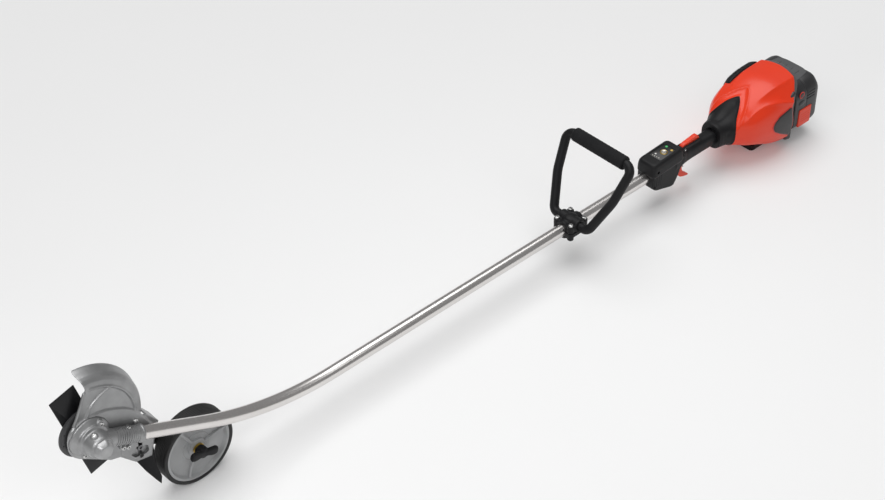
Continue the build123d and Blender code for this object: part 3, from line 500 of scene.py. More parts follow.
# The cover's rear edge: degrees off the top, and how far behind COVER_REAR.
# The belt line: x, and degrees off the top.
REAR_EDGE = ((0, 28), (27, 22), (44, 10), (58, -7), (70, -17), (95, -19), (130, -10), (180, -8))
BELT_LINE = ((1560, 66), (1574, 59), (1587, 50), (1605, 45), (1628, 45), (1654, 50), (1694, 60), (1745, 68))
COVER_REAR = low_high("rear_frame")[0].x
BOOT_FRONT = 1528
SEAM_ANGLE = -38
MM_PER_DEGREE = 1.35  # round the cover beside the badge
BATTERY_LOW, BATTERY_HIGH = low_high("battery_case")
LATCH_LOW, LATCH_HIGH = low_high("battery_latch")


def smooth_step(low, high, value):
    t = min(1.0, max(0.0, (value - low) / (high - low)))
    return t * t * (3 - 2 * t)


def smooth_table(table, x):
    """A smooth curve through (x, value, ...) rows, with no overshoot between them."""
    x = min(max(x, table[0][0]), table[-1][0])
    last = len(table) - 2
    k = min(last, max(0, next((i for i, row in enumerate(table) if row[0] > x), last + 1) - 1))
    result = []
    for column in range(1, len(table[0])):
        slopes = [(table[i + 1][column] - table[i][column]) / (table[i + 1][0] - table[i][0])
                  for i in range(len(table) - 1)]
        before = slopes[k] if k == 0 else (slopes[k - 1] + slopes[k]) / 2
        after = slopes[k] if k == last else (slopes[k] + slopes[k + 1]) / 2
        span = table[k + 1][0] - table[k][0]
        t = (x - table[k][0]) / span
        result.append((1 + 2 * t) * (1 - t) ** 2 * table[k][column] + t * (1 - t) ** 2 * span * before
                      + t * t * (3 - 2 * t) * table[k + 1][column] + t * t * (t - 1) * span * after)
    return result


def skin(x, angle, lift=0.0):
    """A point on the motor unit's body. angle is 0 towards the near side and 90 on top, in degrees."""
    wide, tall, rise = smooth_table(MOTOR_SECTIONS, x)
    c, s = math.cos(math.radians(angle)), math.sin(math.radians(angle))
    reach = soft_reach(c, s, SECTION_POWER)
    return Vector((x, -(wide * reach + lift) * c, SHAFT_Z + rise + (tall * reach + lift) * s))


def off_top(angle):
    """How far an angle round the body lies from the top, 0 to 180 degrees."""
    return abs((angle - 90 + 180) % 360 - 180)


def leaf_x(angle):
    """The leaf-shaped edge between the boot and the cover."""
    return 1560.5 + 50 * math.exp(-(off_top(angle) / 27) ** 1.45)


def rear_x(angle):
    """The cover's rear edge, furthest back on top."""
    return COVER_REAR + smooth_table(REAR_EDGE, off_top(angle))[0]


def body_relief(x, angle):
    """How far the cover's crease lines stand out: a shoulder, a belt line and a ridge round the leaf."""
    d = off_top(angle)
    shoulder = smooth_step(1612, 1665, x)
    belt = smooth_table(BELT_LINE, x)[0]
    lift = 2.8 * shoulder * math.exp(-abs(d - 30) / 4.5)
    lift += 2.4 * smooth_step(1568, 1592, x) * math.exp(-abs(d - belt) / 3.5)
    if 30 < d < belt:
        lift -= 2.6 * shoulder * math.sin(math.pi * (d - 30) / (belt - 30))
    ridge_x = 1563 + 74 * math.exp(-(d / 33) ** 1.5)
    edge_x = leaf_x(angle)
    if d < 75:
        fade = 1 - smooth_step(50, 75, d)
        lift += 2.0 * fade * math.exp(-abs(x - ridge_x) / 4)
        if edge_x < x < ridge_x:
            lift -= 2.4 * fade * math.sin(math.pi * (x - edge_x) / (ridge_x - edge_x))
    return lift


def add_patch(bm, outer, inner):
    """A shell between two grids of points of the same size, closed along its four sides."""
    rows, columns = len(outer), len(outer[0])
    top = [[bm.verts.new(p) for p in row] for row in outer]
    under = [[bm.verts.new(p) for p in row] for row in inner]
    for i in range(rows - 1):
        for j in range(columns - 1):
            bm.faces.new((top[i][j], top[i + 1][j], top[i + 1][j + 1], top[i][j + 1]))
            bm.faces.new((under[i][j], under[i][j + 1], under[i + 1][j + 1], under[i + 1][j]))
    for i in range(rows - 1):
        bm.faces.new((top[i][0], under[i][0], under[i + 1][0], top[i + 1][0]))
        bm.faces.new((top[i][-1], top[i + 1][-1], under[i + 1][-1], under[i][-1]))
    for j in range(columns - 1):
        bm.faces.new((top[0][j], top[0][j + 1], under[0][j + 1], under[0][j]))
        bm.faces.new((top[-1][j], under[-1][j], under[-1][j + 1], top[-1][j + 1]))


def cover_patch(name, first, last, steps, wall=2.6, along=70):
    bm = bmesh.new()
    outer, inner = [], []
    for j in range(steps + 1):
        angle = first + (last - first) * j / steps
        start, end = leaf_x(angle) + 0.3, rear_x(angle)
        line = [start + (end - start) * i / along for i in range(along + 1)]
        outer.append([skin(x, angle, body_relief(x, angle)) for x in line])
        inner.append([skin(x, angle, body_relief(x, angle) - wall) for x in line])
    add_patch(bm, outer, inner)
    return bevelled(loose(name, bm), 0.7, 3, 50)


def make_covers():
    top = cover_patch("motor_cover_top_skin", SEAM_ANGLE, 180 - SEAM_ANGLE, 190)
    finished(top, "frame", "orange_gloss", "motor_cover_top", smooth=50)
    bottom = cover_patch("motor_cover_bottom_skin", 180 - SEAM_ANGLE + 0.5, 360 + SEAM_ANGLE - 0.5, 70)
    finished(bottom, "frame", "orange_gloss", "motor_cover_bottom", smooth=50)


def boot_relief(x, angle):
    """The boot lies under the cover, with a rim at its front, a lip along the leaf and shallow flutes."""
    edge = leaf_x(angle)
    lift = -1.6 + 1.7 * math.exp(-((edge - x) / 2.2) ** 2)
    lift += 0.9 * (1 - smooth_step(BOOT_FRONT + 5, BOOT_FRONT + 12, x))
    flute = smooth_step(BOOT_FRONT + 12, BOOT_FRONT + 20, x) * (1 - smooth_step(edge - 12, edge - 4, x))
    return lift - 1.6 * flute * max(0.0, math.cos(math.radians(angle * 5 - 90))) ** 2


def make_boot():
    bm = bmesh.new()
    rows = []
    along, around = 44, 144
    for i in [*range(along + 1), *range(along, -1, -4)]:
        under = len(rows) > along
        ring = []
        for j in range(around):
            angle = 360 * j / around
            x = BOOT_FRONT + (leaf_x(angle) + 1.5 - BOOT_FRONT) * i / along
            ring.append(skin(x, angle, boot_relief(x, angle) - (3.2 if under else 0)))
        rows.append(ring)
    for inset in (3.6, 0.8):
        x = BOOT_FRONT + inset
        rows.append([Vector((x, p.y * 0.6, SHAFT_Z + (p.z - SHAFT_Z) * 0.6)) for p in rows[0]])
    add_rings(bm, rows, closed=True)
    boot = bevelled(loose("neck_boot_skin", bm), 0.6, 2, 55)
    finished(boot, "frame", "black_plastic", "neck_boot", smooth=45)


def make_vent_rail():
    """The raised black rail with air slots along the far shoulder, and the hump behind it."""
    first, last = 1634, COVER_REAR + 14
    outer, inner = [], []
    for j in range(25):
        angle = 126 + 16 * j / 24
        crown = math.sin(math.pi * j / 24) ** 0.5
        row, under = [], []
        for i in range(61):
            x = first + (last - first) * i / 60
            ends = min(1.0, (x - first) / 14, (last - x) / 10) ** 0.5 if first < x < last else 0
            slot = 1.8 if (x - first) % 13 <= 4 and 12 <= i <= 50 else 0.0
            row.append(skin(x, angle, 1.2 + 5.0 * crown * ends - slot * crown))
            under.append(skin(x, angle, -1.5))
        outer.append(row)
        inner.append(under)
    rail = solid("vent_rail_skin", add_patch, outer, inner)
    finished(rail, "frame", "black_plastic", "vent_rail", smooth=45)


def on_cover(outline, middle, share, rise):
    """A ring on the cover: an outline of (x, angle) points drawn in towards its middle."""
    ring = []
    for x, angle in outline:
        at_x = middle.x + (x - middle.x) * share
        at_angle = middle.y + (angle - middle.y) * share
        ring.append(skin(at_x, at_angle, body_relief(at_x, at_angle) + rise))
    return ring


def make_badge():
    """A plain dark plate with a fine red border, let into the cover's near side."""
    outline = [(1695, 25), (1672, 21.5), (1655, 18), (1642, 9), (1638, 0), (1643, -11), (1662, -19),
               (1700, -31), (1700, -4)]
    middle = Vector((1674, 0))
    for name, inset, lift, slot, look in (("badge_border", 0.0, 0.9, "orange_control", "seam_red"),
                                          ("badge_plate", 2.2, 1.5, "keypad_black", None)):
        shape = []
        for x, angle in rounded_outline(outline, 6, 4):
            away = Vector((x, angle * MM_PER_DEGREE)) - middle
            away -= away.normalized() * inset
            shape.append((middle.x + away.x, (middle.y + away.y) / MM_PER_DEGREE))
        levels = [(1.0, -1.5), (1.0, lift - 0.3)] + [(share, lift) for share in (0.985, 0.8, 0.55, 0.3, 0.1)]
        rings = [on_cover(shape, middle, share, rise) for share, rise in levels]
        finished(solid(name, add_rings, rings), "frame", slot, smooth=50, look=look)


def make_rear_band():
    outer, inner = [], []
    for j in range(121):
        angle = -60 + 300 * j / 120
        start = rear_x(angle) - 2
        depth = 9 + 5 * (1 - smooth_step(30, 60, off_top(angle)))
        line = [start + depth * i / 10 for i in range(11)]
        outer.append([skin(x, angle, -1.4 - 3.0 * ((x - start) / depth) ** 2) for x in line])
        inner.append([skin(x, angle, -9) for x in line])
    band = solid("rear_band", add_patch, outer, inner)
    finished(bevelled(band, 0.8, 2, 50), "frame", "frame_grey", smooth=50)


def make_rear_hood():
    front, rear, top = COVER_REAR, BATTERY_HIGH.x, SHAFT_Z + 62
    plan = [(front + 4, -40), (front + 40, -44), (rear - 12, -38), (rear - 7, -22), (rear - 7, 22),
            (rear - 12, 38), (front + 40, 44), (front + 10, 40)]
    bm = bmesh.new()
    add_prism(bm, rounded_outline(plan, 12), top - 8, top)
    for y in (-24, -8, 8, 24):
        add_tube(bm, [(front + 24, y, top - 0.5), (rear - 22, y, top - 0.5)], 1.6, 12)
    finished(bevelled(loose("rear_hood", bm), 3.0, 4), "frame", "frame_grey", smooth=50)


def make_bulkhead():
    side = [(-18, -58), (-18, 52), (4, 60), (4, -64)]
    outline = rounded_outline([(COVER_REAR + x, SHAFT_Z + z) for x, z in side], 8)
    bulkhead = bevelled(solid("rear_bulkhead", add_side, outline, -68, 68), 4, 3)
    finished(bulkhead, "frame", "frame_grey", "rear_frame", smooth=50, look="battery_black")


def make_battery_shell():
    low, high = BATTERY_LOW, BATTERY_HIGH
    section = [(low.y, low.z + 26), (low.y, high.z - 20), (low.y + 18, high.z), (high.y - 18, high.z),
               (high.y, high.z - 20), (high.y, low.z + 26), (high.y - 30, low.z), (low.y + 30, low.z)]
    outline = rounded_outline(section, 11, 5)
    mid_y, mid_z = Vector(((low.y + high.y) / 2, (low.z + high.z) / 2))
    front = ((0, 0.96), (2, 0.985), (34, 1.0), (35, 0.985), (36.6, 0.985), (37.6, 1.0))
    rear = ((16, 1.0), (8, 0.975), (2, 0.90), (0, 0.82))
    rings = []
    stations = [(low.x + dx, share) for dx, share in front] + [(high.x - dx, share) for dx, share in rear]
    for x, share in stations:
        rings.append([Vector((x, mid_y + (y - mid_y) * share, mid_z + (z - mid_z) * share))
                      for y, z in outline])
    case = bevelled(solid("battery_shell", add_rings, rings), 0.8, 2, 40)
    cutter = bmesh.new()
    for i in range(5):
        z = SHAFT_Z + 22 + 7 * i
        add_box(cutter, (high.x - 46, low.y - 3, z), (high.x - 20, low.y + 1.6, z + 2.4))
    cut_by(case, cutter)
    cut_with(case, add_box, (LATCH_LOW.x + 2.4, low.y - 4, LATCH_LOW.z + 2.4),
             (LATCH_HIGH.x - 2.4, low.y + 7.8, LATCH_HIGH.z - 2.4))
    finished(case, "battery", "battery_black", "battery_case")


def make_latch():
    x0, x1, z0, z1 = LATCH_LOW.x + 3.2, LATCH_HIGH.x - 3.2, LATCH_LOW.z + 3.2, LATCH_HIGH.z - 3.2
    face, near = BATTERY_LOW.y, BATTERY_LOW.y - 1.9
    outline = rounded_outline([(x0, z0), (x1, z0), (x1, z1), (x0, z1)], 3)
    latch = bevelled(solid("latch_button", add_side, outline, face - 1.4, face + 4), 1.4, 4)
    cutter = bmesh.new()
    for i in range(4):
        z = (LATCH_LOW.z + LATCH_HIGH.z) / 2 - 9 + 6 * i
        add_tube(cutter, [(LATCH_LOW.x + 9, near, z), (LATCH_HIGH.x - 9, near, z)], 1.2, 12)
    finished(cut_by(latch, cutter), "latch", "orange_control", "battery_latch", smooth=45)


def make_battery_marks():
    """A red ring with a stud in it, and a longer stud below."""
    low = BATTERY_LOW
    ring_at = move(low.x + 17, low.y + 0.6, SHAFT_Z + 41) @ TO_Y
    ring = solid("battery_mark_ring", add_lathe, round_section(7, 0, 1.1, 12), ring_at, 40, closed=True)
    finished(ring, "battery", "orange_control", look="seam_red")
    bm = bmesh.new()
    add_lathe(bm, [(0, -1.4), (4.6, -1.4), (5.6, -0.6), (5.6, 2), (0, 2)], ring_at, 40)
    long_at = move(low.x + 22, low.y + 0.4, SHAFT_Z + 19) @ TO_Y @ Matrix.Diagonal((1.7, 1, 1, 1))
    add_lathe(bm, [(0, -1.2), (5, -1.2), (6.5, -0.2), (6.5, 2), (0, 2)], long_at, 40)
    finished(loose("battery_mark_studs", bm), "battery", "battery_black", look="keypad_black")


make_covers()
make_boot()
make_vent_rail()
make_badge()
make_rear_band()
make_rear_hood()
make_bulkhead()
make_battery_shell()
make_latch()
make_battery_marks()


# ---- rear handle: control box, grip, keypad, lever and trigger ----

BOX_REAR = 1412
GRIP_END = 1531
TOP_SLOPE = 0.05
PAD_MIDDLE = Vector((1373, -1, 0))
GRIP_POWER = 3.2


def top_z(x):
    """The control box's top, which rises slightly to the rear."""
    return SHAFT_Z + 43 - (BOX_REAR - x) * TOP_SLOPE


def pad_place(x, y, rise):
    """A point that stands off the control box's top."""
    return Vector((x, y, top_z(x) + rise))


def level_ring(x0, x1, half, radius, drop):
    """A section of the control box, level with its top."""
    outline = rounded_outline([(x0, -half), (x1, -half), (x1, half), (x0, half)], radius, 6)
    return [pad_place(x, y, -drop) for x, y in outline]


def grip_ring(x, half, low, high, sides=64):
    """A section of the grip: a soft rectangle from low to high about the shaft's axis."""
    ring = []
    for k in range(sides):
        angle = 2 * math.pi * k / sides
        c, s = math.cos(angle), math.sin(angle)
        reach = soft_reach(c, s, GRIP_POWER)
        ring.append(Vector((x, half * reach * c, SHAFT_Z + (high + low) / 2 + (high - low) / 2 * reach * s)))
    return ring


def twin(obj, name):
    copy = obj.copy()
    copy.data = obj.data.copy()
    copy.name = name
    bpy.context.scene.collection.objects.link(copy)
    return copy


def on_shaft(outline):
    """An outline of (x, z) points whose heights count from the shaft's axis."""
    return [(x, SHAFT_Z + z) for x, z in outline]


def make_rear_handle():
    bm = bmesh.new()
    box = ((1330, 1409, 18, 9, 0), (1327, 1412, 21, 10, 1.2), (1325, 1415, 23.4, 11, 5),
           (1324, 1417, 24.8, 11, 13), (1323.5, 1418, 25, 11, 27), (1326, 1416, 23, 10, 31))
    add_rings(bm, [level_ring(*level) for level in box])
    under = [(1327, 14), (1327, -19), (1338, -28), (1384, -41.5), (1393, -42), (1408, -17), (1411, -6),
             (1424, 1), (1424, 20)]
    add_side(bm, rounded_outline(on_shaft(under), 5, 4), -21.5, 21.5)
    grip = ((1396, 23, -16, 33), (1410, 22, -15, 32), (1422, 19, -15, 27), (1436, 16, -14.6, 20),
            (1452, 14.9, -14.4, 17.4), (1500, 14.8, -14.4, 17.2), (GRIP_END, 15.2, -14.6, 17.6))
    add_rings(bm, [grip_ring(*section) for section in grip])
    lever_bed = [(1400, 0), (1400, 30), (1430, 26), (1484, 24.5), (1490, 10), (1490, 0)]
    add_side(bm, on_shaft(lever_bed), -8.6, 8.6)
    body = fused(loose("rear_handle_body", bm), 1.25, rounds=5, strength=0.55)
    lever_slot = [(1431, 11), (1431, 40), (1489, 40), (1489, 14)]
    trigger_slot = [(1414, -40), (1414, -12.4), (1450, -12.4), (1450, -40)]
    cut_with(body, add_side, on_shaft(lever_slot), -6.4, 6.4)
    cut_with(body, add_side, on_shaft(trigger_slot), -6.6, 6.6)
    cut_with(body, add_tube, [(1438, -11.5, SHAFT_Z - 12.4), (1528, -11.5, SHAFT_Z - 12.4)], 4.2, 20)
    cutter = bmesh.new()
    add_tube(cutter, [(1338, -32, SHAFT_Z + 20), (1338, -15, SHAFT_Z + 20)], 3.3, 24, up=Vector((0, 0, 1)))
    for k in range(4):
        x = 1331 + 6.5 * k
        add_tube(cutter, [(x, -22.3, SHAFT_Z - 15 - k), (x, -22.3, SHAFT_Z + 7)], 1.4, 12)
    cut_by(body, cutter)
    pad = rounded_outline([(1349, -17.5), (1398, -17.5), (1398, 15.5), (1349, 15.5)], 5, 5)
    cut_with(body, add_rings, [[pad_place(x, y, rise) for x, y in pad] for rise in (-1.6, 6)])
    cut_with(body, add_tube, [(1300, 0, SHAFT_Z), (GRIP_END + 10, 0, SHAFT_Z)], 12.6, 48)
    other = twin(body, "rear_handle_far")
    body.name = "rear_handle_near"
    for half, case, y_from, y_to in ((body, "near", 0.15, 60), (other, "far", -60, -0.15)):
        cut_with(half, add_box, (1200, y_from, -400), (1700, y_to, 100))
        finished(half, "frame", "black_plastic", "handle_case_" + case, smooth=45)


def make_lens(name, x, y, radius, slope, look, node=None):
    dome = [(radius, -1.5), (radius, 0.1), (radius * 0.8, 0.55), (radius * 0.4, 0.75), (0.01, 0.8)]
    lens = solid(name, add_lathe, dome, Matrix.Translation(pad_place(x, y, 0)) @ slope, 32)
    finished(lens, "frame", "lens", node, smooth=60, look=look)


def make_keypad():
    slope = turn(-math.degrees(math.atan(TOP_SLOPE)), "Y")
    outline = rounded_outline([(1349.4, -17.1), (1397.6, -17.1), (1397.6, 15.1), (1349.4, 15.1)], 4.8, 5)
    film = [[pad_place(x, y, rise) for x, y in outline] for rise in (-1.9, -0.4)]
    panel = solid("keypad_film", add_rings, film)
    finished(bevelled(panel, 0.35, 2), "frame", "keypad_black", "keypad_panel")
    rim = ((-0.7, -1.4), (0.7, -1.4), (0.7, 0.1), (0.35, 0.5), (-0.35, 0.5), (-0.7, 0.1))
    rings = []
    for x, y in outline:
        out = (Vector((x, y, 0)) - PAD_MIDDLE).normalized()
        rings.append([pad_place(x + out.x * u, y + out.y * u, v) for u, v in rim])
    finished(solid("keypad_rim", add_rings, rings, closed=True), "frame", "black_plastic", smooth=50)
    make_lens("lens_run", 1393, 5.5, 3.0, slope, "lens", "indicator_lenses")
    make_lens("lens_fault", 1391, -10.5, 2.9, slope, "lens_amber")
    make_lens("lens_level", 1361, 6, 2.2, slope, "lens_white")
    bm = bmesh.new()
    for k in range(4):
        x, y = 1353 + 0.4 * k, 6.5 - 5 * k
        add_box(bm, pad_place(x, y, -0.8), pad_place(1355.6 + 0.4 * k, 9.5 - 5 * k, -0.15))
    finished(bevelled(loose("keypad_level_bars", bm), 0.25, 2), "frame", "lens", look="button_silver")
    at = Matrix.Translation(pad_place(1376, -2.5, 0)) @ slope
    cap = [(0.01, -2), (6.2, -2), (6.2, 0.9), (5.6, 1.5), (4.7, 1.6), (3.9, 0.9), (2.2, 0.6), (0.01, 0.55)]
    button = solid("power_button_cap", add_lathe, cap, at, 48)
    finished(button, "button", "button_silver", "power_button", smooth=50)
    bezel = solid("power_button_bezel", add_lathe, round_section(7.3, -0.3, 0.8, 10), at, 48, closed=True)
    finished(bezel, "frame", "brass", smooth=60)


def make_controls():
    paddle = [(1432, 15), (1432, 25), (1438, 29), (1473, 33.6), (1479, 33.2), (1484.6, 26), (1484, 20.5)]
    lever = solid("lockout_paddle", add_side, rounded_outline(on_shaft(paddle), 3, 4), -4.6, 5.4)
    bevelled(lever, 1.5, 4)
    cutter = bmesh.new()
    for k in range(5):
        x = 1450 + 5.5 * k
        z = SHAFT_Z + 31.3 + 0.131 * (x - 1450)
        add_tube(cutter, [(x, -9, z), (x, 9, z)], 0.8, 10, up=TO_REAR)
    finished(cut_by(lever, cutter), "lockout", "orange_control", "lockout_lever", smooth=45)
    hook = [(1420, -14), (1434, -14), (1435, -30), (1438, -39), (1444, -44), (1457, -54), (1456, -57.5),
            (1443, -54.5), (1431, -50), (1425, -42), (1421, -28)]
    trigger = solid("trigger_blade", add_side, rounded_outline(on_shaft(hook), 3, 4), -5.9, 5.9)
    finished(bevelled(trigger, 1.8, 4), "trigger", "orange_control", "trigger", smooth=50)


def make_case_screws():
    """Dark screws sunk in the near side, and one in the grip."""
    bm = bmesh.new()
    for x, y, z in ((1334, -22.4, -19), (1386, -21.2, -33), (1514, -14.6, 4)):
        add_cap_screw(bm, move(x, y + 0.9, SHAFT_Z + z) @ TO_NEAR, 2.9, 1.3)
    heads = loose("case_screw_heads", bm)
    finished(heads, "frame", "zinc_steel", "case_screws", smooth=40, look="black_plastic")


make_rear_handle()
make_case_screws()
make_keypad()
make_controls()


# ---- drive shaft and front handle ----

TUBE_RADIUS = 12.5
BEND_START, BEND_RADIUS = 240, 640
CLAMP_X = middle("clamp_lower").x
HANDLE_TILT = 28.6
GRIP_HEIGHT = 157  # of the foam, from the pivot
PIVOT_Z = SHAFT_Z + 9
LOOP_AT = move(CLAMP_X, 0, PIVOT_Z) @ turn(HANDLE_TILT, "Y")


def shaft_centre(distance):
    """A point on the shaft's axis, by its distance along the axis from the gear head's crossing."""
    down = Vector((math.cos(HEAD_SLOPE), 0, -math.sin(HEAD_SLOPE)))
    if distance <= BEND_START:
        return down * distance
    turned = min(HEAD_SLOPE, (distance - BEND_START) / BEND_RADIUS)
    heading = HEAD_SLOPE - turned
    centre = down * BEND_START + Vector((math.sin(HEAD_SLOPE), 0, math.cos(HEAD_SLOPE))) * BEND_RADIUS
    on_arc = centre - Vector((math.sin(heading), 0, math.cos(heading))) * BEND_RADIUS
    left = max(0.0, distance - BEND_START - BEND_RADIUS * HEAD_SLOPE)
    return on_arc + Vector((left, 0, 0))


def make_shaft():
    bend_end = BEND_START + BEND_RADIUS * HEAD_SLOPE
    last = 1562 - shaft_centre(bend_end).x + BEND_START + BEND_RADIUS * HEAD_SLOPE
    along = [45, 140, BEND_START - 2]
    along += [BEND_START + BEND_RADIUS * HEAD_SLOPE * k / 40 for k in range(41)]
    along += [bend_end + 60 + (last - 592) * k / 8 for k in range(8)] + [last]
    tube = solid("shaft_skin", add_tube, [shaft_centre(distance) for distance in along], TUBE_RADIUS, 72)
    finished(tube, "frame", "tube_aluminium", "shaft_tube", smooth=60)


def arc_path(points, radii):
    """A path of straights joined by true arcs at each inner corner."""
    points = [Vector(p) for p in points]
    path = [points[0]]
    for i in range(1, len(points) - 1):
        before = (points[i - 1] - points[i]).normalized()
        after = (points[i + 1] - points[i]).normalized()
        half = before.angle(after) / 2
        reach = radii[i - 1] / math.tan(half)
        centre = points[i] + (before + after).normalized() * (radii[i - 1] / math.sin(half))
        start, end = points[i] + before * reach, points[i] + after * reach
        sweep = (start - centre).angle(end - centre)
        for k in range(15):
            first, last = math.sin((1 - k / 14) * sweep), math.sin(k / 14 * sweep)
            path.append(centre + ((start - centre) * first + (end - centre) * last) / math.sin(sweep))
    path.append(points[-1])
    return path


def make_loop():
    corners = [(0, 12, 0), (0, 46, 0), (0, 74, 76), (0, 87, GRIP_HEIGHT), (0, 0, GRIP_HEIGHT)]
    half = arc_path(corners, [16, 90, 17])
    other = [Vector((p.x, -p.y, p.z)) for p in reversed(half[:-1])]
    across = LOOP_AT.to_3x3() @ TO_REAR
    loop = solid("handle_loop_skin", add_tube, [LOOP_AT @ p for p in half + other], 9.4, 40, up=across)
    finished(loop, "front_handle", "black_plastic", "handle_loop", smooth=60)


def make_foam():
    """A foam sleeve with softly rounded ends and a skin that isn't quite even."""
    end = [(9.8, 66.4), (12.6, 66.4), (13.9, 65.2), (14.4, 63)]
    profile = [(radius, -height) for radius, height in end]
    profile += [(14.3 + 0.12 * math.cos(k * 1.3), -62 + 124 * k / 62) for k in range(63)]
    profile += end[::-1]
    foam = solid("handle_foam", add_lathe, profile, LOOP_AT @ move(0, 0, GRIP_HEIGHT) @ TO_Y, 64, closed=True)
    finished(foam, "front_handle", "foam", "handle_grip", smooth=60)


def add_along_shaft(bm, half_length, rise, radius):
    """A rod along the shaft at the clamp, some way above or below the shaft's axis."""
    z = SHAFT_Z + rise
    add_tube(bm, [(CLAMP_X - half_length, 0, z), (CLAMP_X + half_length, 0, z)], radius, 48)


def clamp_half(name, bm, screws, boss, node, low, high):
    """Melt half a clamp and its four bosses together; cut it at the seam, the shaft and the loop's ends."""
    radius, bottom, top = boss
    for x, y in screws:
        add_lathe(bm, [(radius, SHAFT_Z + bottom), (radius, SHAFT_Z + top)], move(x, y, 0), 32)
    half = fused(loose(name, bm), 1.0, rounds=4, strength=0.5)
    cut_with(half, add_box, (CLAMP_X - 60, -60, SHAFT_Z + low), (CLAMP_X + 60, 60, SHAFT_Z + high))
    shaft = [(CLAMP_X - 60, 0, SHAFT_Z), (CLAMP_X + 60, 0, SHAFT_Z)]
    cut_with(half, add_tube, shaft, TUBE_RADIUS + 0.1, 64)
    for side in (-1, 1):
        cut_bore(half, CLAMP_X, PIVOT_Z, 11.6 * side, 50 * side, 9.9)
    finished(half, "handle_clamp", "black_plastic", node, smooth=45)


def make_clamp():
    x0, x1 = CLAMP_X - 25, CLAMP_X + 25
    plan = rounded_outline([(x0, -26), (x1, -26), (x1, 26), (x0, 26)], 9, 6)
    screws = [(CLAMP_X + dx, dy) for dx in (-18.5, 18.5) for dy in (-18.5, 18.5)]
    pivot = move(CLAMP_X, 0, PIVOT_Z)
    bm = bmesh.new()
    add_prism(bm, [(CLAMP_X + (x - CLAMP_X) * 0.94, y * 0.94) for x, y in plan], SHAFT_Z + 0.4, SHAFT_Z + 10)
    add_lathe(bm, [(13.2, -25.5), (14.6, -23), (14.6, 23), (13.2, 25.5)], pivot @ TO_Y, 48)
    add_lathe(bm, [(16, 4), (15, 9), (12, 12.6), (7, 14.6), (0.01, 15.3)], pivot, 48)
    add_along_shaft(bm, 24, 3, 15.6)
    clamp_half("clamp_cap", bm, screws, (7, 0.4, 15.6), "clamp_upper", -60, 0.4)
    bm = bmesh.new()
    add_prism(bm, plan, SHAFT_Z - 9, SHAFT_Z - 0.4)
    add_along_shaft(bm, 24.5, -3, 17)
    clamp_half("clamp_base", bm, screws, (6.6, -17, -0.4), "clamp_lower", -0.4, 60)
    bm = bmesh.new()
    for x, y in screws:
        add_cap_screw(bm, move(x, y, SHAFT_Z + 15.4), 4.6, 4.6)
    finished(loose("clamp_screws", bm), "handle_clamp", "bright_steel", "clamp_bolts", smooth=40)


make_shaft()
make_loop()
make_foam()
make_clamp()


# ---- gear head, guard and cutter ----

FLANGE_FACE = 16
NOSE_FACE = -37.5
GUARD_THICK = 3
ALONG_Y = SLANT @ TO_Y
RIM_INNER, RIM_OUTER, RIM_EDGE, RIM_START = 93, 116, 49, -14


def polar(radius, angle):
    return radius * math.cos(math.radians(angle)), radius * math.sin(math.radians(angle))


FLANGE_SCREWS = [polar(29.5, angle) for angle in (76, 256, 346)]
PLUG_AT = SLANT @ turn(-129, "Y")


def on_head(x, y, z):
    """A point square to the slanted lower shaft: x along it, y to the blade's side, z square to both."""
    return SLANT @ Vector((x, y, z))


def along_head(*distances):
    return [on_head(x, 0, 0) for x in distances]


def make_gearcase():
    bm = bmesh.new()
    barrel = [(12, -27), (18.8, -26.6), (21.2, -23), (23, -10), (23.6, -3), (28.4, -1), (29, 3.4),
              (33.8, 7.6), (36.6, 9.8), (37.2, 11), (37.2, FLANGE_FACE)]
    add_lathe(bm, barrel, ALONG_Y, 72)
    add_tube(bm, along_head(4, 18, 28, 34), [19.5, 17.8, 16.4, 15.6], 48)
    add_tube(bm, along_head(30, 70, 71, 96), [15.6, 15.6, 15.2, 15.2], 48)
    add_tube(bm, along_head(92, 96.4), 16.3, 48)
    add_lathe(bm, [(6.4, 8), (6.0, 14.6)], SLANT @ move(66, 0, 0), 28)
    for x, z in FLANGE_SCREWS:
        add_lathe(bm, [(6.0, 2.6), (6.6, 4), (7.4, FLANGE_FACE)], SLANT @ move(x, 0, z) @ TO_Y, 28)
    add_tube(bm, [PLUG_AT @ Vector((r, -14, 0)) for r in (15, 25.6)], 5.6, 28)
    pinch_lug = [(54, -10), (78, -10), (76, -23), (57, -23)]
    add_side(bm, pinch_lug, -7.4, 7.4, SLANT)
    case = fused(loose("gearcase_casting", bm), 1.0, rounds=4, strength=0.5)
    cutter = bmesh.new()
    turns = [k * math.pi / 28 for k in range(56)]
    for k in range(11):
        x = 38 + 4.6 * k
        groove = [(x, 17), (x, 14.7), (x + 1.4, 14.7), (x + 1.4, 17)]
        rings = [[on_head(at_x, r * math.cos(a), r * math.sin(a)) for a in turns] for at_x, r in groove]
        add_rings(cutter, rings, closed=True)
    cut_by(case, cutter)
    cut_with(case, add_tube, along_head(47, 100), 12.7, 48)
    cut_with(case, add_box, (52, -0.9, -40), (90, 0.9, -8), SLANT)
    finished(case, "frame", "cast_aluminium", "gearcase", smooth=50)


def make_nose_plug():
    """A round plug whose six flats run out towards its base."""
    rings = []
    for y, radius in ((-24, 18.4), (-26, 18.4), (-31, 16.6), (-35.6, 13.6), (-37.2, 12.0), (NOSE_FACE, 11.2)):
        ring = []
        for k in range(48):
            angle = 2 * math.pi * k / 48
            reach = min(radius * 0.93 / hexagon_cosine(angle), radius)
            ring.append(on_head(reach * math.cos(angle), y, reach * math.sin(angle)))
        rings.append(ring)
    plug = bevelled(solid("nose_plug", add_rings, rings), 0.6, 3)
    # The plug takes the lighter copy of the cast aluminium, a painted highlight for the light falling on it.
    finished(plug, "frame", "cast_aluminium", "nose_cap", smooth=30, look="cast_painted_highlight")


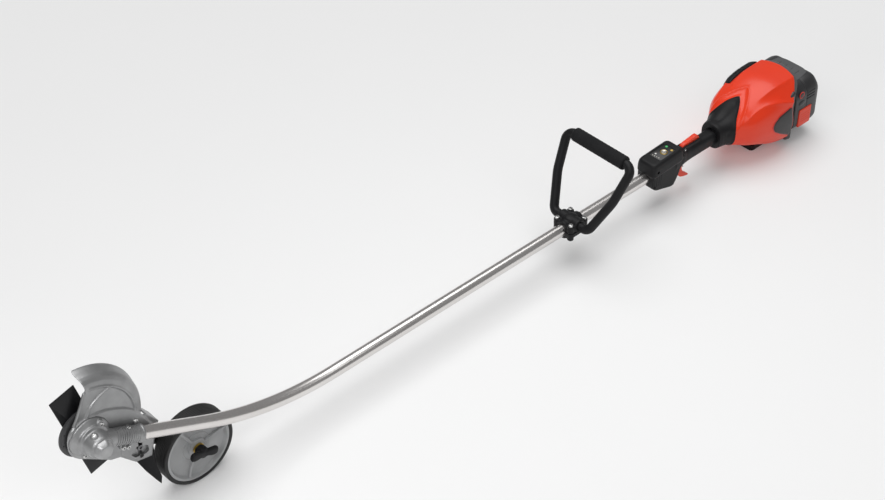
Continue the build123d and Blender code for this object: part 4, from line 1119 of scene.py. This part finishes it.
def make_head_screws():
    bm = bmesh.new()
    for x, z in FLANGE_SCREWS:
        add_cap_screw(bm, SLANT @ move(x, 3.2, z) @ TO_NEAR, 4.1, 4.2)
    add_cap_screw(bm, PLUG_AT @ move(25, -14, 0) @ TO_X, 4.4, 3.4)
    finished(loose("flange_screws", bm), "frame", "bright_steel", "flange_bolts", smooth=40)
    bm = bmesh.new()
    for x in (61, 71):
        add_cap_screw(bm, SLANT @ move(x, -7.2, -18.5) @ TO_NEAR, 3.8, 3.8)
    add_cap_screw(bm, move(87, FLANGE_FACE - 4, -23) @ TO_NEAR, 4.4, 4)
    add_cap_screw(bm, SLANT @ move(66, 0, 14.4), 4.4, 3.6)
    finished(loose("pinch_screws", bm), "frame", "bright_steel", "head_screws", smooth=40)


def guard_outline():
    """The guard's flat body as (x, z), from the rim's lower end round by the tail and the front edge."""
    arc = [polar(RIM_INNER + 1, a) for a in range(-14, 85, 4)]
    front = curve_through([(8.6, 92), (5.0, 88), (-3.5, 70), (-14, 48), (-22, 36), (-33, 24), (-39, 4),
                           (-37, -18), (-26, -36), (0, -56)], 5)
    low = [(16, -68), (34, -82), (52, -88), (80, -119.5), (112, -126), (121, -94), (134, -58), (112, -27)]
    return arc + front + low


def add_ridge(bm, points, width, rise):
    """A rounded rib standing on the guard's face along (x, z) points."""
    path = [Vector((x, FLANGE_FACE - 0.1, z)) for x, z in points]
    rings = []
    for i, p in enumerate(path):
        ahead = (path[min(i + 1, len(path) - 1)] - path[max(i - 1, 0)]).normalized()
        side = ahead.cross(Vector((0, 1, 0))).normalized()
        ring = []
        for k in range(9):
            t = math.pi * k / 8
            ring.append(p + side * width / 2 * math.cos(t) - Vector((0, rise * math.sin(t) ** 0.7, 0)))
        ring.append(p - side * width / 2 + Vector((0, 1, 0)))
        ring.append(p + side * width / 2 + Vector((0, 1, 0)))
        rings.append(ring)
    add_rings(bm, rings)


def guard_rim():
    """The rolled rim: its section of (radius, y) points swept round the spindle, with a slanting end."""
    section = [(RIM_INNER - 1, 16), (97, 16.3), (103, 18.2), (108.5, 22), (112, 27.5), (113.4, 34),
               (RIM_OUTER - 1.6, 40), (RIM_OUTER, 45), (RIM_OUTER + 0.3, RIM_EDGE),
               (RIM_OUTER - 2.6, RIM_EDGE), (RIM_OUTER - 3.6, 43), (110.4, 35), (109.2, 28.8), (106, 23.8),
               (101.5, 20.6), (96, 19.2), (RIM_INNER - 1, 19)]
    rings = []
    for k in range(54):
        ring = []
        for radius, y in section:
            reach = (radius - RIM_INNER) / (RIM_OUTER - RIM_INNER)
            last = 84.6 + 4.2 * max(0.0, reach) ** 2 - 3.0 * smooth_step(44, RIM_EDGE, y)
            x, z = polar(radius, RIM_START + (last - RIM_START) * (k / 53))
            ring.append(Vector((x, y, z)))
        rings.append(ring)
    return rings


def raised_body():
    """The thicker part of the guard's face round the gear head, drawn in a little towards its top."""
    outline = [(-33, 27), (-20, 35.5), (-1, 39.2), (19, 38.5), (33, 35.2), (46.6, 30), (62, 22), (77, 12),
               (90, -1), (101, -16), (110, -34), (117, -50), (128, -62), (118, -92), (110, -121), (82, -116),
               (54, -84), (36, -78), (4, -54), (-24, -34), (-35, -16), (-37, 6)]
    middle = Vector((45, -40))
    rings = []
    for inset, rise in ((0, -1), (0, 1.2), (1.6, 3.4), (3, 4)):
        ring = []
        for x, z in rounded_outline(outline, 8, 4):
            inward = (middle - Vector((x, z))).normalized() * inset
            ring.append(Vector((x + inward.x, FLANGE_FACE - rise, z + inward.y)))
        rings.append(ring)
    return rings


def make_guard():
    bm = bmesh.new()
    add_side(bm, guard_outline(), FLANGE_FACE, FLANGE_FACE + GUARD_THICK)
    add_rings(bm, guard_rim())
    tail_edge = [(112, -27), (134, -58), (121, -94)]
    for (x0, z0), (x1, z1) in zip(tail_edge, tail_edge[1:]):
        across = Vector((x1 - x0, 0, z1 - z0)).normalized().cross(Vector((0, 1, 0))) * GUARD_THICK
        corners = [(x0, z0), (x1, z1), (x1 - across.x, z1 - across.z), (x0 - across.x, z0 - across.z)]
        add_side(bm, corners, FLANGE_FACE, 46)
    add_rings(bm, raised_body())
    add_ridge(bm, curve_through([(53, 74.5), (31.5, 67.5), (13.5, 56.4), (0.8, 38)], 6), 4.2, 3.6)
    add_ridge(bm, curve_through([(6.4, 91), (3.2, 87), (-4.6, 70), (-15.4, 48), (-23.4, 36)], 6), 4.6, 3.6)
    add_ridge(bm, [polar(RIM_INNER - 0.5, angle) for angle in range(-12, 84, 4)], 3.8, 2.6)
    guard = fused(loose("guard_casting", bm), 1.2, rounds=2, strength=0.5)
    pocket = [(70, -93), (80, -82.5), (86, -81.5), (104.5, -92), (105, -105), (98, -108), (77, -103)]
    cut_with(guard, add_side, rounded_outline(pocket, 2.5), FLANGE_FACE - 9, FLANGE_FACE + 1.2)
    cutter = bmesh.new()
    slot = [(86, -66), (94, -66), (94, -112), (86, -112)]
    add_side(cutter, rounded_outline(slot, 3.9), 0, 40)
    add_tube(cutter, [(0, 8, 0), (0, 40, 0)], 20.2, 60, up=TO_REAR)
    add_tube(cutter, [(54.5, FLANGE_FACE - 4.3, -56), (50.5, FLANGE_FACE - 4.3, -84)], 0.9, 10)
    cut_by(guard, cutter)
    cut_with(guard, add_lathe, [(37.8, -20), (37.8, 0)], SLANT @ move(0, FLANGE_FACE - 0.2, 0) @ TO_Y, 72)
    finished(guard, "frame", "cast_aluminium", "guard", smooth=50)


def make_dust_cup():
    bm = bmesh.new()
    dish = [(6.1, 22.6), (28, 22.6), (40, 23.4), (45, 24.6), (47, 26.4), (47.3, 29.8), (45, 30), (44.6, 27.6),
            (40, 26), (6.1, 25.4)]
    add_lathe(bm, dish, ALONG_Y, 96, closed=True)
    for k in range(12):
        add_prism(bm, [(24, 22.0), (43, 23.1), (43, 25), (24, 25)], -0.9, 0.9, SLANT @ turn(30 * k, "Y"))
    finished(loose("dust_cup", bm), "cutter", "blade_steel", "dust_disc", smooth=40, look="disc")


def make_blade():
    """A flat bar whose edges are ground back on both faces."""
    corners = [(-100, -25), (100, -25), (100, 25), (-100, 25)]
    rings = []
    for inset, y in ((2.2, 30.6), (0, 31.5), (0, 32.2), (1.2, 33.0)):
        flat = [(x - math.copysign(inset, x), z - math.copysign(inset * 0.2, z)) for x, z in corners]
        rings.append([turn(-105, "Y") @ Vector((x, y, z)) for x, z in rounded_outline(flat, 1.2, 3)])
    blade = solid("blade_bar", add_rings, rings)
    cut_bore(blade, 0, 0, 20, 45, 12.9)
    finished(blade, "cutter", "blade_steel", "blade", smooth=30)


def make_flap():
    skirt = [(82, -121), (112, -124), (117, -150), (125.6, -186), (122.6, -203), (112, -184), (96, -153)]
    leaf = [(114.6, -86), (117.8, -86), (121.4, -196), (118.4, -196)]
    bm = bmesh.new()
    add_side(bm, rounded_outline(skirt, 2.5, 4), FLANGE_FACE + 0.6, FLANGE_FACE + 3.2)
    add_side(bm, leaf, FLANGE_FACE + 3, 46)
    finished(bevelled(loose("flap_sheet", bm), 0.6, 2), "frame", "rubber", "debris_flap", smooth=40)


make_gearcase()
make_nose_plug()
make_head_screws()
make_guard()
make_dust_cup()
make_blade()
make_flap()


# ---- depth wheel ----

WHEEL = middle("tyre")
TYRE_NEAR, TYRE_FAR = low_high("tyre")[0].y, low_high("tyre")[1].y
HUB_RADIUS = 66
DEPTH_BOLT = (90, -89)  # x, z
AXLE = move(WHEEL.x, 0, WHEEL.z)
WHEEL_AT = AXLE @ TO_Y


def make_tyre():
    near, far = TYRE_NEAR, TYRE_FAR
    bead = HUB_RADIUS + 0.2
    tread = [(bead, near + 1.2), (68, near + 0.2), (71.6, near), (73, near + 0.8), (73.8, near + 2.6)]
    for k in range(1, 8):
        y = near + 2.6 + (far - near - 5.2) * k / 8
        tread += [(73.9, y - 0.9), (73.1, y - 0.4), (73.1, y + 0.4), (73.9, y + 0.9)]
    tread += [(73.8, far - 2.6), (73, far - 0.8), (71.6, far), (68, far - 0.2), (bead, far - 1.2)]
    tyre = solid("tyre_ring", add_lathe, tread, WHEEL_AT, 120, closed=True)
    finished(tyre, "wheel", "tyre_black", "tyre", smooth=35)


def make_hub():
    """A dished disc with three rounded ribs in front and nine plain ones behind."""
    bm = bmesh.new()
    dish = [(8.3, 20.4), (16.5, 20.4), (17.8, 21.2), (18.6, 25.4), (26, 26.2), (27.4, 25.2), (28.6, 25.2),
            (30, 26.6), (54, 25.4), (58.4, 24), (60.4, 20.6), (61, 17.6), (61.8, 16.9), (64.6, 16.7),
            (HUB_RADIUS, 17.4), (HUB_RADIUS, 48.6), (62, 49), (61.6, 30), (30, 29.8), (18.5, 29.6),
            (17.6, 51), (8.3, 51)]
    add_lathe(bm, dish, WHEEL_AT, 120, closed=True)
    rib = [(15, 20.6), (24, 21.6), (44, 22.4), (61, 20.2), (61, 30), (15, 30)]
    crown = ((2.6, 0.0), (2.0, -0.5), (1.0, -0.9), (-1.0, -0.9), (-2.0, -0.5), (-2.6, 0.0))
    for angle in (120, 10, -112):
        at = AXLE @ turn(-angle, "Y")
        add_rings(bm, [[at @ Vector((x, y + lift if y < 25 else y, half)) for x, y in rib]
                       for half, lift in crown])
    for angle in range(0, 360, 40):
        add_prism(bm, [(17, 29), (62, 29), (62, 46), (17, 50)], -1.2, 1.2, AXLE @ turn(-angle, "Y"))
    finished(loose("hub_disc", bm), "wheel", "hub_grey", "wheel_hub", smooth=40)


def make_bush():
    bm = bmesh.new()
    for section in ([(5.05, 16.4), (7.2, 16.4), (8, 17.1), (8, 51.6), (5.05, 51.6)],
                    [(5.05, 16.4), (10.3, 16.4), (11, 17), (11, 19.4), (10.4, 20.1), (5.05, 20.1)]):
        add_lathe(bm, section, WHEEL_AT, 48, closed=True)
    finished(loose("bush_sleeve", bm), "wheel_carrier", "brass", "axle_bush", smooth=40)


def make_knob():
    """A round boss with two wings, whose sections give x, lowest and highest z, lowest and highest y."""
    bm = bmesh.new()
    boss = [(5.2, 15.9), (9.4, 15.9), (10.4, 14.6), (10.9, 6), (9.6, 1), (5, -0.6), (0.01, -1), (0.01, 4.6),
            (5.2, 4.6)]
    add_lathe(bm, boss, WHEEL_AT, 48)
    wing = ((0, -6, 7, -1.5, 8), (8, -6.5, 7.2, -2.2, 7.2), (15, -8.4, 8.2, -2.8, 6.6),
            (22, -9, 8.6, -3, 6.4), (26.4, -7.6, 7, -2.6, 6), (28.3, -4.4, 4, -1.4, 5))
    for side in (-1, 1):
        rings = []
        for x, low, high, y_low, y_high in wing:
            ring = []
            for k in range(28):
                angle = 2 * math.pi * k / 28
                c, s = math.cos(angle), math.sin(angle)
                reach = soft_reach(c, s, 3)
                y = (y_low + y_high) / 2 + (y_high - y_low) / 2 * reach * c
                z = side * 1.5 * (x / 28) + (low + high) / 2 + (high - low) / 2 * reach * s
                ring.append(AXLE @ turn(18, "Y") @ Vector((side * x, y, z)))
            rings.append(ring)
        add_rings(bm, rings)
    knob = fused(loose("knob_wing", bm), 0.8, rounds=4, strength=0.5)
    cut_bore(knob, WHEEL.x, WHEEL.z, 3.6, 30, 5.2, 40)
    finished(knob, "wheel_knob", "black_plastic", "wing_knob", smooth=60)


def make_bracket():
    bm = bmesh.new()
    slide = [(71, -61), (109, -61), (109, -117), (83, -111), (71, -96)]
    add_side(bm, rounded_outline(slide, 5), 19.4, 23.2)
    add_side(bm, [(105.5, -62), (109.5, -62), (109.5, -117), (105.5, -116)], 19.4, 55)
    arm = [(106, -84), (118, -86), (213, -162), (219, -172), (218, -184), (208, -190), (194, -188),
           (106, -118)]
    add_side(bm, rounded_outline(arm, 6), 52, 55.9)
    bracket = bevelled(loose("bracket_plate", bm), 0.8, 3)
    cutter = bmesh.new()
    add_tube(cutter, [(WHEEL.x, 40, WHEEL.z), (WHEEL.x, 70, WHEEL.z)], 5.1, 40, up=TO_REAR)
    x, z = DEPTH_BOLT
    add_tube(cutter, [(x, 10, z), (x, 30, z)], 3.2, 32, up=TO_REAR)
    cut_by(bracket, cutter)
    finished(bracket, "wheel_carrier", "zinc_steel", "wheel_bracket", smooth=35)


def make_depth_clamp():
    bm = bmesh.new()
    x, z = DEPTH_BOLT
    add_cap_screw(bm, move(x, 15.6, z) @ TO_NEAR, 5.6, 3.4)
    add_tube(bm, [(x, 14, z), (x, 27, z)], 3, 28, up=TO_REAR)
    corners = [k * math.pi / 3 for k in range(6)]
    nut = ((23.3, 5.6), (23.9, 6.3), (27.7, 6.3), (28.3, 5.6))
    add_rings(bm, [[Vector((x + r * math.cos(a), y, z + r * math.sin(a))) for a in corners] for y, r in nut])
    finished(loose("depth_screw", bm), "wheel_carrier", "zinc_steel", "depth_clamp", smooth=35)


make_tyre()
make_hub()
make_bush()
make_knob()
make_depth_clamp()
make_bracket()
